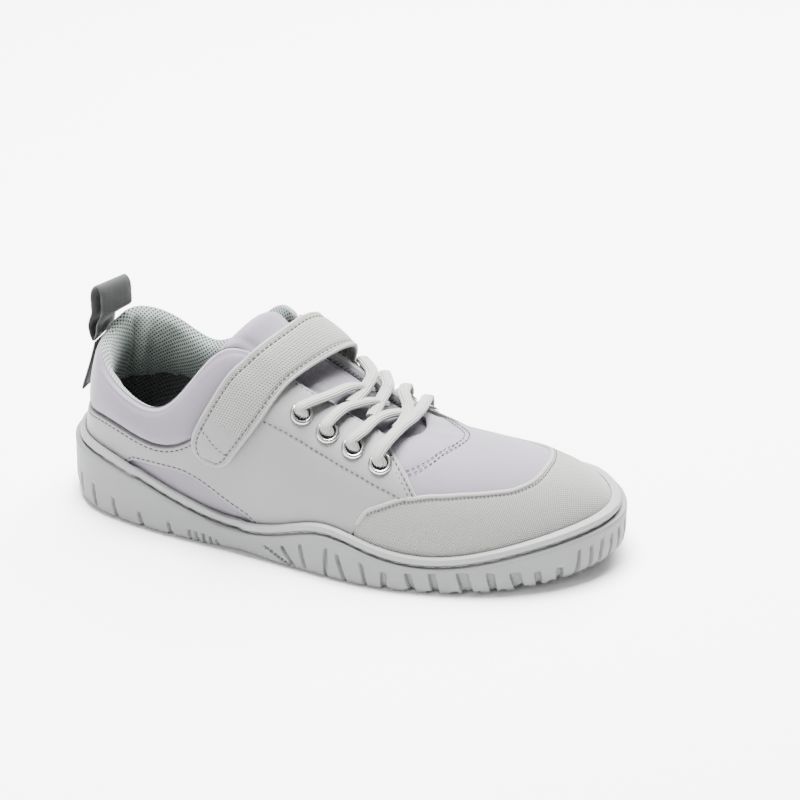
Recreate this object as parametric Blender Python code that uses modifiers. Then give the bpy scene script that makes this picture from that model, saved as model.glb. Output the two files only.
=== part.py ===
"""Low barefoot trainer for the right foot, standing flat and empty.

The last is one function: a ring of rows runs round the sole, heel to toe on the outer side and back
on the inner side, and each row has a curve from the sole's edge (share 0) up to the top line (share 1).
Every piece of the upper is cut from that function. Lengths are millimetres until a mesh is made.
+X is the toe, +Y the inner side, +Z up.
"""

import math

import bmesh
import bpy
import numpy as np
from mathutils import Matrix, Vector

MM = 0.001

# Driving sizes of the last and the sole
SOLE_LENGTH = 268.0
HEEL_WIDTH = 72.0
BALL_WIDTH = 101.0
COLLAR_HEIGHT = 84.0
INSTEP_HEIGHT = 61.0
RIM_HEIGHT = 36.0
SOLE_THICKNESS = 7.0
TOE_SPRING = 7.4
HEEL_LIFT = 3.0
WAIST_LIFT = 1.5
LUG_DEPTH = 3.0

# Walls, layers and clearances
WALL = 2.2
COLLAR_SWELL = 2.6
COLLAR_PAD = 5.0
LAYER = 1.1
PIPING_LAYER = 2.2
CLEARANCE = 0.3
OVERLAY_GAP = 0.6
INSOLE_THICKNESS = 3.5
INSOLE_GAP = 1.2
RIM_WIDTH = 2.4
FEATHER_INSET = 6.0
TONGUE_THICKNESS = 5.0

# Trim
STRAP_THICKNESS = 1.7
STRAP_RIM = 0.6
STRAP_BOW = 1.3
EYELET_OUTSIDE = 11.0
EYELET_HOLE = 6.0
EYELET_HEIGHT = 1.2
EYELET_LIFT = 0.45
LACE_WIDTH = 5.2
LACE_THICKNESS = 3.2
LOOP_WIDTH = 19.0
LOOP_HEIGHT = 28.0
TAPE_THICKNESS = 1.2
TAB_LENGTH = 26.0

# Columns: place; sole edge x as a share of the length, its y as a share of the width there; top line
# x, y and z; height of the collar seam; wall lean in degrees and pull; top slope in degrees and pull; rim.
# Widths are shares of the heel or the ball, heights of the collar or the instep, the rim of its own size.
HEEL, BALL = HEEL_WIDTH, BALL_WIDTH
COLLAR, INSTEP = COLLAR_HEIGHT, INSTEP_HEIGHT
LAST = (
    ("heel back", 0.000, 0.03 * HEEL, 0.063, 0.03 * HEEL, 0.99 * COLLAR, 0.57, 5, 0.34, 84, 0.40, 0.97),
    ("heel corner outer", 0.019, -0.19 * HEEL, 0.071, -0.18 * HEEL, 0.95 * COLLAR, 0.58, 4, 0.34, 84, 0.40, 1.00),
    ("heel side outer", 0.063, -0.36 * HEEL, 0.101, -0.31 * HEEL, 0.86 * COLLAR, 0.61, 3, 0.34, 84, 0.38, 1.01),
    ("ankle back outer", 0.138, -0.46 * HEEL, 0.153, -0.40 * HEEL, 0.78 * COLLAR, 0.585, 4, 0.36, 84, 0.36, 0.92),
    ("ankle outer", 0.228, -0.52 * HEEL, 0.216, -0.42 * HEEL, 0.786 * COLLAR, 0.555, 5, 0.38, 82, 0.34, 0.68),
    ("ankle front outer", 0.325, -0.40 * BALL, 0.276, -0.257 * BALL, 1.024 * COLLAR, 0.72, 5, 0.40, 74, 0.34, 0.485),
    ("strap outer", 0.422, -0.436 * BALL, 0.336, -0.193 * BALL, 1.149 * COLLAR, 1.02, 5, 0.42, 55, 0.32, 0.54),
    ("instep outer", 0.519, -0.475 * BALL, 0.422, -0.153 * BALL, 1.37 * INSTEP, 1.10, 5, 0.42, 38, 0.34, 0.75),
    ("small joint outer", 0.612, -0.493 * BALL, 0.500, -0.144 * BALL, 1.188 * INSTEP, 1.00, 6, 0.40, 28, 0.38, 0.61),
    ("ball outer", 0.705, -0.463 * BALL, 0.567, -0.144 * BALL, 1.041 * INSTEP, 0.95, 7, 0.40, 16, 0.42, 0.515),
    ("small toe", 0.795, -0.401 * BALL, 0.614, -0.124 * BALL, 0.980 * INSTEP, 0.90, 8, 0.38, 9, 0.46, 0.595),
    ("fourth toe", 0.877, -0.297 * BALL, 0.636, -0.084 * BALL, 0.965 * INSTEP, 0.90, 10, 0.36, 5, 0.47, 0.72),
    ("third toe", 0.948, -0.139 * BALL, 0.646, -0.035 * BALL, 0.955 * INSTEP, 0.90, 11, 0.36, 3, 0.50, 0.82),
    ("toe tip", 0.994, 0.109 * BALL, 0.647, 0.015 * BALL, 0.950 * INSTEP, 0.90, 10, 0.35, 5, 0.50, 0.875),
    ("great toe front", 0.955, 0.361 * BALL, 0.644, 0.059 * BALL, 0.950 * INSTEP, 0.90, 8, 0.31, 13, 0.44, 0.86),
    ("great toe", 0.892, 0.465 * BALL, 0.632, 0.104 * BALL, 0.960 * INSTEP, 0.90, 7, 0.29, 22, 0.38, 0.79),
    ("great toe joint", 0.813, 0.510 * BALL, 0.608, 0.134 * BALL, 0.985 * INSTEP, 0.90, 6, 0.29, 29, 0.36, 0.72),
    ("ball inner", 0.724, 0.505 * BALL, 0.563, 0.144 * BALL, 1.068 * INSTEP, 0.97, 6, 0.32, 34, 0.36, 0.65),
    ("first joint inner", 0.627, 0.460 * BALL, 0.496, 0.144 * BALL, 1.238 * INSTEP, 1.05, 6, 0.38, 38, 0.36, 0.65),
    ("instep inner", 0.526, 0.401 * BALL, 0.428, 0.153 * BALL, 1.432 * INSTEP, 1.15, 5, 0.42, 40, 0.34, 0.74),
    ("strap inner", 0.425, 0.351 * BALL, 0.369, 0.193 * BALL, 1.190 * COLLAR, 1.08, 4, 0.42, 55, 0.32, 0.72),
    ("ankle front inner", 0.321, 0.332 * BALL, 0.302, 0.252 * BALL, 1.012 * COLLAR, 0.76, 3, 0.40, 74, 0.34, 0.69),
    ("ankle inner", 0.216, 0.465 * HEEL, 0.231, 0.395 * HEEL, 0.853 * COLLAR, 0.60, 4, 0.38, 82, 0.34, 0.75),
    ("ankle back inner", 0.127, 0.430 * HEEL, 0.164, 0.388 * HEEL, 0.952 * COLLAR, 0.60, 4, 0.36, 84, 0.36, 0.89),
    ("heel side inner", 0.056, 0.345 * HEEL, 0.104, 0.310 * HEEL, 1.036 * COLLAR, 0.60, 3, 0.34, 84, 0.38, 1.00),
    ("heel corner inner", 0.015, 0.220 * HEEL, 0.073, 0.195 * HEEL, 1.030 * COLLAR, 0.58, 4, 0.34, 84, 0.40, 1.00),
)
ROWS = len(LAST)
TOE_ROW = ROWS // 2
SOLE_X, SOLE_Y, TOP_X, TOP_Y, TOP_Z, SEAM_Z, WALL_LEAN, WALL_PULL, TOP_SLOPE, TOP_PULL, RIM_Z = range(11)


def last_table():
    """The table of the last in millimetres and degrees, one row a place."""
    table = np.array([row[1:] for row in LAST], float)
    table[:, [SOLE_X, TOP_X]] *= SOLE_LENGTH
    table[:, SEAM_Z] *= COLLAR_HEIGHT
    table[:, RIM_Z] *= RIM_HEIGHT
    return table


def ring_bend(values):
    """Second derivatives of the smooth closed curve through the rows."""
    count = len(values)
    matrix = 4 * np.eye(count) + np.roll(np.eye(count), 1, 1) + np.roll(np.eye(count), -1, 1)
    return np.linalg.solve(matrix, 6 * (np.roll(values, -1, 0) - 2 * values + np.roll(values, 1, 0)))


TABLE = last_table()
BEND = ring_bend(TABLE)


def row_values(row):
    """Every column of the last at a row, whole or between two."""
    row = np.asarray(row, float)
    low = np.floor(row).astype(int)
    share = (row - low)[..., None]
    rest = 1 - share
    here, after = low % ROWS, (low + 1) % ROWS
    bend = ((rest**3 - rest) * BEND[here] + (share**3 - share) * BEND[after]) / 6
    return rest * TABLE[here] + share * TABLE[after] + bend


def unit(vectors):
    return vectors / np.linalg.norm(vectors, axis=-1, keepdims=True)


# Where the sole lifts off the floor, as shares of its length
SPRING_START = 0.69
HEEL_LIFT_END = 0.082
WAIST_CENTRE = 0.362
WAIST_REACH = 0.075


def ground(x):
    """Height of the tread above the floor: toe spring, rounded heel and a slightly lifted waist."""
    along = np.asarray(x, float) / SOLE_LENGTH
    toe = np.clip((along - SPRING_START) / (1 - SPRING_START), 0, None)
    heel = np.clip(1 - along / HEEL_LIFT_END, 0, None)
    waist = np.clip(1 - np.abs(along - WAIST_CENTRE) / WAIST_REACH, 0, 1)
    return TOE_SPRING * toe**2 + HEEL_LIFT * heel**2 + WAIST_LIFT * waist**2 * (3 - 2 * waist)


def bed(x):
    """Height of the footbed inside the sole."""
    return ground(x) + SOLE_THICKNESS


def outline(row, inset=0.0):
    """Points of the sole's edge, moved in, and its outward directions in plan."""
    row = np.asarray(row, float)
    step = 0.02
    point = row_values(row)[..., :2]
    along = row_values(row + step)[..., :2] - row_values(row - step)[..., :2]
    out = unit(np.stack([along[..., 1], -along[..., 0]], -1))
    return point - out * np.asarray(inset)[..., None], out


FAN_LENGTH = 15.0


def last_point(row, share):
    """A point of the last: a Bezier curve from the sole's edge to the top line."""
    row, share = np.broadcast_arrays(np.asarray(row, float), np.asarray(share, float))
    values = row_values(row)
    foot, out = outline(row, FEATHER_INSET)
    low = np.concatenate([foot, (bed(foot[..., 0]) + CLEARANCE)[..., None]], -1)
    top = values[..., TOP_X : TOP_Z + 1]
    fan = unit(unit((low - top)[..., :2]) * np.linalg.norm((low - top)[..., :2], axis=-1, keepdims=True) + FAN_LENGTH * out)
    chord = np.linalg.norm(top - low, axis=-1)
    lean, slope = np.radians(values[..., WALL_LEAN]), np.radians(values[..., TOP_SLOPE])
    rise = np.concatenate([out * np.sin(lean)[..., None], np.cos(lean)[..., None]], -1)
    fall = np.concatenate([fan * np.cos(slope)[..., None], -np.sin(slope)[..., None]], -1)
    wall = low + rise * (chord * values[..., WALL_PULL])[..., None]
    crown = top + fall * (chord * values[..., TOP_PULL])[..., None]
    t = share[..., None]
    return (1 - t) ** 3 * low + 3 * (1 - t) ** 2 * t * wall + 3 * (1 - t) * t**2 * crown + t**3 * top


def last_normal(row, share):
    """Outward direction of the last."""
    step = 0.01
    share = np.clip(share, step, 1 - step)
    across = last_point(np.asarray(row) + step, share) - last_point(np.asarray(row) - step, share)
    up = last_point(row, share + step) - last_point(row, share - step)
    return unit(np.cross(across, up))


def share_at_height(row, height, highest=0.85):
    """The share, up to a highest one, at which a row's curve reaches a height."""
    low, high = np.zeros(np.shape(row)), np.full(np.shape(row), highest)
    for _ in range(26):
        middle = (low + high) / 2
        below = last_point(row, middle)[..., 2] < height
        low, high = np.where(below, middle, low), np.where(below, high, middle)
    return (low + high) / 2


def collar_share(row, share):
    """0 at the collar seam to 1 at the top line, with how much of a collar the row has."""
    values = row_values(row)
    room = values[..., TOP_Z] - values[..., SEAM_Z]
    height = last_point(row, share)[..., 2]
    across = np.clip((height - values[..., SEAM_Z]) / np.maximum(room, 0.001), 0, 1)
    return np.where(room > 0, across, 0), np.clip(room / 12.0, 0, 1)


def roll_of(row, share):
    """The padded roll of the collar, 0 at its seam and top line, 1 half way."""
    across, amount = collar_share(row, share)
    return amount * np.sqrt(np.clip(4 * across * (1 - across), 0, 1))


def skin(row, share, offset=0.0):
    """A point on the upper's outer face, moved out by an offset."""
    swell = COLLAR_SWELL * roll_of(row, share)
    return last_point(row, share) + last_normal(row, share) * (swell + offset)[..., None]


def lining(row, share, offset=0.0):
    """A point on the upper's inner face, moved inwards by an offset."""
    depth = WALL + COLLAR_PAD * roll_of(row, share) + offset
    return last_point(row, share) - last_normal(row, share) * depth[..., None]


# Mesh making
shoe = bpy.data.collections.new("barefoot_shoe")
cutters = bpy.data.collections.new("cutters")


def clear_scene():
    for thing in list(bpy.data.objects):
        bpy.data.objects.remove(thing, do_unlink=True)
    bpy.context.scene.collection.children.link(shoe)
    bpy.context.scene.collection.children.link(cutters)


def material(name, colour, roughness, metallic=0.0):
    """A Principled material of a piece's colour."""
    made = bpy.data.materials.new(name)
    made.use_nodes = True
    shader = made.node_tree.nodes["Principled BSDF"]
    shader.inputs["Base Color"].default_value = (*colour, 1.0)
    shader.inputs["Roughness"].default_value = roughness
    shader.inputs["Metallic"].default_value = metallic
    return made


def mesh_object(name, points, faces, finish):
    """An object from points in millimetres, with its faces turned outwards."""
    mesh = bpy.data.meshes.new(name)
    mesh.from_pydata([tuple(point * MM) for point in np.asarray(points).reshape(-1, 3)], [], faces)
    turn_outwards(mesh)
    mesh.shade_smooth()
    made = bpy.data.objects.new(name, mesh)
    mesh.materials.append(finish)
    shoe.objects.link(made)
    return made


def turn_outwards(mesh):
    """Gives a mesh's faces one side, the outer one if it is closed."""
    work = bmesh.new()
    work.from_mesh(mesh)
    bmesh.ops.recalc_face_normals(work, faces=work.faces)
    closed = all(edge.is_manifold for edge in work.edges)
    if closed and work.calc_volume(signed=True) < 0:
        bmesh.ops.reverse_faces(work, faces=work.faces)
    work.to_mesh(mesh)
    work.free()


def grid_faces(rows, columns, closed_rows=False, closed_columns=False):
    """Quads over a grid of points stored row by row."""
    faces = []
    for i in range(rows if closed_rows else rows - 1):
        for j in range(columns if closed_columns else columns - 1):
            k, m = (i + 1) % rows, (j + 1) % columns
            faces.append((i * columns + j, k * columns + j, k * columns + m, i * columns + m))
    return faces


def solidify(made, thickness, offset, factor=1.0, group=None):
    """A Solidify modifier, thinner where a vertex group is light."""
    shell = made.modifiers.new("thickness", "SOLIDIFY")
    shell.thickness = thickness * MM
    shell.offset = offset
    shell.use_even_offset = False
    if group:
        shell.vertex_group = group
        shell.thickness_vertex_group = factor
    return shell


def sheet(name, points, thickness, finish, offset=1.0, heavy=None, factor=1.0):
    """An open grid of points with thickness. heavy marks the grid's thick places."""
    points = np.asarray(points)
    rows, columns = points.shape[:2]
    made = mesh_object(name, points, grid_faces(rows, columns), finish)
    if heavy is None:
        solidify(made, thickness, offset)
        return made
    group = made.vertex_groups.new(name="heavy")
    for index, weight in enumerate(np.asarray(heavy).reshape(-1)):
        group.add([index], float(weight), "REPLACE")
    solidify(made, thickness, offset, factor, "heavy")
    return made


def face_outwards(made, centre):
    """Turns an open sheet so that its faces look away from a centre."""
    mesh = made.data
    away = sum((face.center - Vector(centre) * MM).dot(face.normal) * face.area for face in mesh.polygons)
    if away < 0:
        mesh.flip_normals()
    return made


def boolean(made, other, operation):
    """A Boolean modifier of one object, or of a collection of them."""
    step = made.modifiers.new(operation.lower(), "BOOLEAN")
    step.operation = operation
    step.solver = "EXACT"
    if isinstance(other, bpy.types.Collection):
        step.operand_type = "COLLECTION"
        step.collection = other
    else:
        step.object = other
    return step


def helper(made):
    made.hide_render = True
    made.display_type = "WIRE"
    return made


# Finishes
def finishes():
    return {
        "softshell": material("softshell", (0.50, 0.47, 0.52), 0.75),
        "microfibre": material("microfibre", (0.50, 0.50, 0.51), 0.55),
        "woven": material("woven", (0.56, 0.56, 0.53), 0.85),
        "rubber": material("rubber", (0.52, 0.53, 0.53), 0.60),
        "insole mesh": material("insole_mesh", (0.10, 0.11, 0.11), 0.90),
        "lace": material("lace", (0.68, 0.68, 0.66), 0.80),
        "tape": material("tape", (0.30, 0.30, 0.31), 0.70),
        "metal": material("metal", (0.80, 0.80, 0.80), 0.25, 1.0),
    }


# Upper
UPPER_STEPS = 2
# Steps of the wall under the collar seam and of the collar above it, outside and then inside
WALL_STEPS = (0.0, 0.16, 0.34, 0.52, 0.70, 0.86, 1.0)
COLLAR_STEPS = (0.22, 0.52, 0.80, 1.0)
LINING_COLLAR_STEPS = (1.0, 0.80, 0.52, 0.22)
LINING_WALL_STEPS = (1.0, 0.78, 0.52, 0.26, 0.0)
NO_COLLAR_SHARE = 0.9


def seam_share(row):
    """The share of the collar seam, or a place near the top line where there is no collar."""
    values = row_values(row)
    height = np.minimum(values[..., SEAM_Z], values[..., TOP_Z] - 0.2)
    return share_at_height(row, height, NO_COLLAR_SHARE)


def build_upper(finish):
    """One hollow shell, open under the foot, along the throat and at the collar."""
    rows = np.arange(0, ROWS, 1 / UPPER_STEPS)
    seam = seam_share(rows)[:, None]

    def shares(wall, collar):
        return seam * np.array(wall)[None, :], seam + (1 - seam) * np.array(collar)[None, :]

    outer = skin(rows[:, None], np.concatenate(shares(WALL_STEPS, COLLAR_STEPS), axis=1))
    low, high = shares(LINING_WALL_STEPS, LINING_COLLAR_STEPS)
    inner = lining(rows[:, None], np.concatenate([high, low], axis=1))
    points = np.concatenate([outer, inner], axis=1)
    faces = grid_faces(len(rows), points.shape[1], True, True)
    return mesh_object("upper", points, faces, finish)


# Quarter: smooth overlay round the heel with both eyestays. Its lower edge rises over the side inserts
# and along the toe cap. Columns of the insert: row, height above the rim as a share of its rise.
INSERT_RISE = 13.0
INSERT = ((2.9, 0.0), (3.3, 0.30), (3.8, 0.65), (4.3, 0.95), (4.7, 0.90), (5.1, 0.55), (5.5, 0.15), (5.7, 0.0))
OUTER_FRONT_ROW = 9.2
INNER_FRONT_ROW = 9.35
RIM_TUCK = 3.0
# Columns of the cap's edge: row, share of the last's curve
CAP_EDGE = (
    (7.6, 0.20),
    (8.0, 0.36),
    (8.8, 0.49),
    (9.5, 0.545),
    (10.2, 0.555),
    (10.9, 0.535),
    (11.4, 0.515),
    (12.0, 0.52),
    (12.65, 0.555),
    (13.2, 0.56),
)
CAP_ROWS = [row for row, _ in CAP_EDGE] + [ROWS - row for row, _ in CAP_EDGE[-2::-1]]
CAP_SHARES = [share for _, share in CAP_EDGE] + [share for _, share in CAP_EDGE[-2::-1]]


def mirrored(row):
    """The row on the outer side that faces a row."""
    row = np.mod(row, ROWS)
    return np.where(row > TOE_ROW, ROWS - row, row)


def insert_rise(row):
    side = mirrored(row)
    table = np.array(INSERT)
    return INSERT_RISE * np.interp(side, table[:, 0], table[:, 1], 0, 0)


def cap_share(row):
    """Share of the cap's edge at a row, under the rim outside the cap."""
    return np.interp(np.mod(row, ROWS), CAP_ROWS, CAP_SHARES, -1, -1)


def rim_share(row, drop):
    """Share of a row's curve a drop below the rim's top."""
    return share_at_height(row, row_values(row)[..., RIM_Z] - drop)


def quarter_low(row):
    """Lower edge of the quarter: tucked in the sole, over the insert, or along the toe cap."""
    tucked = rim_share(row, RIM_TUCK * np.clip(1 - insert_rise(row) / 2.0, 0, 1) - insert_rise(row))
    chord = np.linalg.norm(last_point(row, 0.6) - last_point(row, 0.4), axis=-1) / 0.2
    return np.maximum(tucked, cap_share(row) + CLEARANCE / chord)


EYESTAY_TOP = 0.995
THROAT_CORNER_ROW = 6.4
THROAT_CORNER_GAP = 0.15
SEAM_GAP = 0.4


def quarter_high(row):
    """Upper edge of the quarter: the collar seam, or the throat's edge."""
    values = row_values(row)
    seam = share_at_height(row, np.minimum(values[..., SEAM_Z], values[..., TOP_Z] - 0.2) - SEAM_GAP)
    open_top = values[..., SEAM_Z] > values[..., TOP_Z] - 2.0
    return np.where(open_top, EYESTAY_TOP, seam)


def build_quarter(finish, holes):
    """The overlay round the heel, both sides to the eyestays' front edges."""
    extra = [-8.25, -7.75, -6.25, -5.75, -5.25, -4.75, 4.75, 5.25, 5.75, 6.25, 7.75, 8.25]
    rows = np.sort([-INNER_FRONT_ROW, *np.arange(-9.0, 9.01, 0.5), *extra, OUTER_FRONT_ROW])
    low, high = quarter_low(rows), quarter_high(rows)
    across = np.array([0, 0.14, 0.3, 0.46, 0.62, 0.76, 0.89, 1.0])
    shares = low[:, None] + (high - low)[:, None] * across
    corner = THROAT_CORNER_GAP * np.exp(-(((mirrored(rows) - THROAT_CORNER_ROW) / 0.4) ** 2))
    points = skin(rows[:, None], shares, OVERLAY_GAP + corner[:, None] + 0 * shares)
    made = face_outwards(sheet("quarter", points, LAYER, finish), (90.0, 0.0, 30.0))
    boolean(made, holes, "DIFFERENCE")
    return made


BEAD_WIDTH = 2.4


def build_toe_cap(finish):
    """The woven cap over the toes, with a thick piped edge."""
    rows = np.concatenate([[7.62, 7.78], np.arange(8.0, 18.01, 0.5), [18.22, 18.38]])
    high, low = cap_share(rows), rim_share(rows, RIM_TUCK)
    low = np.minimum(low, high - 0.02)
    length = np.linalg.norm(last_point(rows, high) - last_point(rows, low), axis=-1)
    bead = np.minimum(BEAD_WIDTH / length, 0.45)
    steps = np.array([0, 0.3, 0.6, 0.85, 1.0])
    inner = steps[None, :] * (1 - 1.3 * bead)[:, None]
    edge = np.stack([1 - bead, 1 - 0.5 * bead, np.ones_like(bead)], 1)
    across = np.concatenate([inner, edge], 1)
    shares = low[:, None] + (high - low)[:, None] * across
    points = skin(rows[:, None], shares, np.full(shares.shape, OVERLAY_GAP))
    heavy = np.zeros(shares.shape)
    heavy[:, -3] = 0.7
    heavy[:, -2] = 1.0
    heavy[:, -1] = 0.3
    heavy[[0, 1, 2, -3, -2, -1]] = 0.0
    made = sheet("toe_cap", points, PIPING_LAYER, finish, 1.0, heavy, LAYER / PIPING_LAYER)
    return face_outwards(made, (190.0, 0.0, 20.0))


# Sole: a cup with a rim, a groove under it, ribbed sides and main lugs
SOLE_STEPS = 2
GROOVE_DROP = 3.4
GROOVE_DEPTH = 0.9
LEDGE_DROP = 5.0
SIDE_WALL = 1.8
# Columns: row, inset of the tread's edge, its lift. The inner waist is cut back like an arch.
TREAD_EDGE = (
    (0.0, 3.5, 0.0),
    (3.0, 2.0, 0.0),
    (5.0, 2.0, 0.0),
    (8.0, 1.6, 0.0),
    (12.0, 2.4, 0.0),
    (14.0, 2.4, 0.0),
    (18.0, 2.0, 0.0),
    (19.0, 6.0, 2.0),
    (20.0, 11.0, 4.0),
    (21.0, 9.0, 3.0),
    (22.0, 3.0, 0.5),
    (23.0, 2.0, 0.0),
    (26.0, 3.5, 0.0),
)


def cup_offset(row):
    """Gap from the upper to the sole's inner wall: room for the overlay, less at the inserts."""
    covered = np.clip(2 - insert_rise(row) / 2.0, 0, 1)
    return OVERLAY_GAP + (LAYER + CLEARANCE) * covered


def sole_rings(rows):
    """Rings from the tread's middle, up the outer side, over the rim and down to the footbed."""
    values = row_values(rows)
    edge = np.array(TREAD_EDGE)
    inset = np.interp(rows, edge[:, 0], edge[:, 1])
    lift = np.interp(rows, edge[:, 0], edge[:, 2])
    rim = values[:, RIM_Z]
    side, out = outline(rows)
    lifted = ground(side[:, 0])

    def at(plan, height):
        return np.concatenate([plan, np.asarray(height)[:, None]], 1)

    def side_at(depth, height):
        return at(side - out * np.asarray(depth)[..., None], height)

    top_share = rim_share(rows, 0.0)
    wall_top = skin(rows, top_share, cup_offset(rows))
    wall_tuck = skin(rows, rim_share(rows, RIM_TUCK + 1.0), cup_offset(rows))
    wall_middle = skin(rows, top_share * 0.45, cup_offset(rows))
    low = skin(rows, np.zeros_like(rows), np.full(rows.shape, 0.0)) + np.column_stack([out * 0.5, np.full(len(rows), -CLEARANCE)])
    floor = at(low[:, :2], bed(low[:, 0]))
    wall_low = skin(rows, rim_share(rows, LEDGE_DROP), cup_offset(rows))
    bulge = np.einsum("ij,ij->i", (wall_low - wall_top)[:, :2], out)
    band = wall_top[:, :2] + out * np.maximum(RIM_WIDTH, bulge + SIDE_WALL)[:, None]
    groove = band - out * np.minimum(GROOVE_DEPTH, RIM_WIDTH - bulge - 0.7 * SIDE_WALL).clip(0.0)[:, None]
    ledge_depth = np.minimum(0.0, np.einsum("ij,ij->i", side - band, out))
    rings = [
        at(tread_middle(rows, 0.5), ground(tread_middle(rows, 0.5)[:, 0])),
        at(tread_middle(rows, 0.85), ground(tread_middle(rows, 0.85)[:, 0]) + lift * 0.25),
        side_at(inset, lifted + lift),
        side_at(inset * 0.25, lifted + 3.0 + lift),
        side_at(np.zeros(len(rows)), lifted + 8.0 + lift * 0.5),
        side_at(ledge_depth, rim - LEDGE_DROP),
        at(groove, rim - LEDGE_DROP + 0.5),
        at(groove, rim - GROOVE_DROP),
        at(band + out * 0.2, rim - GROOVE_DROP + 0.4),
        at(band, rim - 0.8),
        at(band - out * 0.8, rim),
        wall_top,
        wall_tuck,
        wall_middle,
        floor,
    ]
    return rings


SPINE_INSET = 15.0


def tread_middle(rows, share, inset=3.0):
    """Plan points between the sole's centre line, kept short of both ends, and its edge."""
    rows = np.asarray(rows, float)
    edge, _ = outline(rows, inset)
    across, _ = outline(ROWS - rows, inset)
    middle = (edge + across) / 2
    middle[..., 0] = SPINE_INSET + middle[..., 0] * (1 - 2 * SPINE_INSET / SOLE_LENGTH)
    return middle + (edge - middle) * share


def bag(name, rings, low_height, high_height, finish, sampled):
    """A closed body of rings whose first and last ring close on the centre line, heel to toe."""
    count = len(sampled)
    half = count // 2
    points = np.concatenate(rings)
    faces = grid_faces(len(rings), count, False, True)
    spine_rows = sampled[1:half]
    middle = tread_middle(spine_rows, 0.0)
    low = np.column_stack([middle, low_height(middle[:, 0])])
    high = np.column_stack([middle, high_height(middle[:, 0])])
    first = len(points)
    points = np.concatenate([points, low, high])

    def close(ring_start, spine_start):
        def spine(index):
            pair = min(index % count, (count - index) % count)
            return spine_start + min(max(pair, 1), half - 1) - 1

        for index in range(count):
            after = (index + 1) % count
            face = [ring_start + index, ring_start + after, spine(after), spine(index)]
            if face[2] == face[3]:
                face.pop()
            faces.append(tuple(face))

    close(0, first)
    close((len(rings) - 1) * count, first + len(low))
    return mesh_object(name, points, faces, finish)


# Side notches. Columns: first and last row, how many, width, height, depth, lean along the sole.
NOTCHES = (
    ("forefoot outer", 8.2, 11.4, 7, 3.6, 9.0, 3.0, 0.0),
    ("toe", 11.9, 14.2, 6, 1.6, 17.0, 1.8, 3.0),
    ("great toe", 14.7, 18.2, 8, 3.2, 10.0, 2.0, 0.0),
    ("midfoot outer", 6.2, 7.9, 5, 1.4, 13.0, 1.6, -6.0),
    ("heel outer", 1.6, 4.6, 7, 1.8, 9.0, 2.0, 2.5),
    ("heel inner", 21.8, 24.6, 6, 1.8, 9.0, 2.0, -2.5),
    ("heel back", -0.9, 0.9, 4, 1.6, 9.0, 1.8, 0.0),
)
# Tread channels as shares of length and ball width, inner side positive. Columns: from x, y to x, y, width.
HUB = (0.655, -0.02)
FAN_OUTER = (
    (0.640, -0.47),
    (0.675, -0.49),
    (0.715, -0.475),
    (0.760, -0.45),
    (0.800, -0.42),
    (0.842, -0.37),
    (0.880, -0.31),
    (0.918, -0.24),
)
FAN_INNER = (
    (0.560, 0.42),
    (0.600, 0.45),
    (0.640, 0.49),
    (0.685, 0.50),
    (0.730, 0.51),
    (0.775, 0.52),
    (0.820, 0.51),
    (0.862, 0.50),
    (0.900, 0.47),
)
FAN_TOE = ((0.935, 0.42), (0.965, 0.30), (0.985, 0.20))
GRID_RIBS = (-0.30, -0.19, -0.08, 0.03, 0.14, 0.25)
GRID_CROSS = (0.30, 0.36, 0.42, 0.48, 0.54)
HEEL_CROSS = (0.06, 0.115, 0.17, 0.225)
HUB_RADIUS = 12.0
CHANNEL_WIDTH = 2.6


def cutter_box(name, start, end, width, depth, below=6.0):
    """A box along a line of the tread, from below the floor to a depth in the sole."""
    start, end = np.asarray(start, float), np.asarray(end, float)
    start, end = np.append(start, ground(start[0])), np.append(end, ground(end[0]))
    along = end - start
    length = np.linalg.norm(along)
    bpy.ops.mesh.primitive_cube_add(size=1.0)
    box = bpy.context.object
    box.name = name
    middle = (start + end) / 2 + np.array([0.0, 0.0, (depth - below) / 2])
    box.location = Vector(middle * MM)
    box.rotation_euler = (0, -math.asin(along[2] / length), math.atan2(along[1], along[0]))
    box.scale = Vector((length, width, depth + below)) * MM
    for holder in list(box.users_collection):
        holder.objects.unlink(box)
    return helper(box)


def plan(share):
    return np.array([share[0] * SOLE_LENGTH, share[1] * BALL_WIDTH])


def fan_channels():
    """Channels that run from near the hub out through the tread's edge."""
    hub = plan(HUB)
    made = []
    for group, ends in (("outer", FAN_OUTER), ("inner", FAN_INNER), ("toe", FAN_TOE)):
        for index, share in enumerate(ends):
            away = unit(plan(share) - hub)
            start = hub + away * (HUB_RADIUS * (2.2 if index % 2 else 1.0))
            made.append((f"channel_{group}_{index}", start, plan(share) + away * 6.0, CHANNEL_WIDTH))
    return made


def straight_channels():
    """Channels of the midfoot grid and the heel."""
    made = []
    for index, share in enumerate(GRID_RIBS):
        made.append((f"channel_rib_{index}", plan((0.275 + 0.003 * index, share * 0.8)), plan((0.59 - abs(share) * 0.12, share)), 2.0))
    for index, share in enumerate(GRID_CROSS):
        made.append((f"channel_cross_{index}", plan((share, -0.36)), plan((share + 0.05, 0.30)), 2.0))
    for index, share in enumerate(HEEL_CROSS):
        made.append((f"channel_heel_{index}", plan((share, -0.40)), plan((share + 0.02, 0.40)), 2.4))
    return made


def build_tread_cutters():
    """Every notch and channel of the sole in one collection."""
    tread = bpy.data.collections.new("tread_cutters")
    cutters.children.link(tread)
    made = []
    for name, first, last, count, width, height, depth, lean in NOTCHES:
        for index, row in enumerate(np.linspace(first, last, count)):
            edge, out = outline(row)
            box = cutter_box(f"{name}_{index}", edge - out * depth, edge + out * 6.0, width, height, 2.0)
            box.rotation_euler.rotate_axis("X", math.radians(lean * 2))
            made.append(box)
    for name, start, end, width in fan_channels() + straight_channels():
        made.append(cutter_box(name, start, end, width, LUG_DEPTH))
    for box in made:
        tread.objects.link(box)
    return tread


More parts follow.
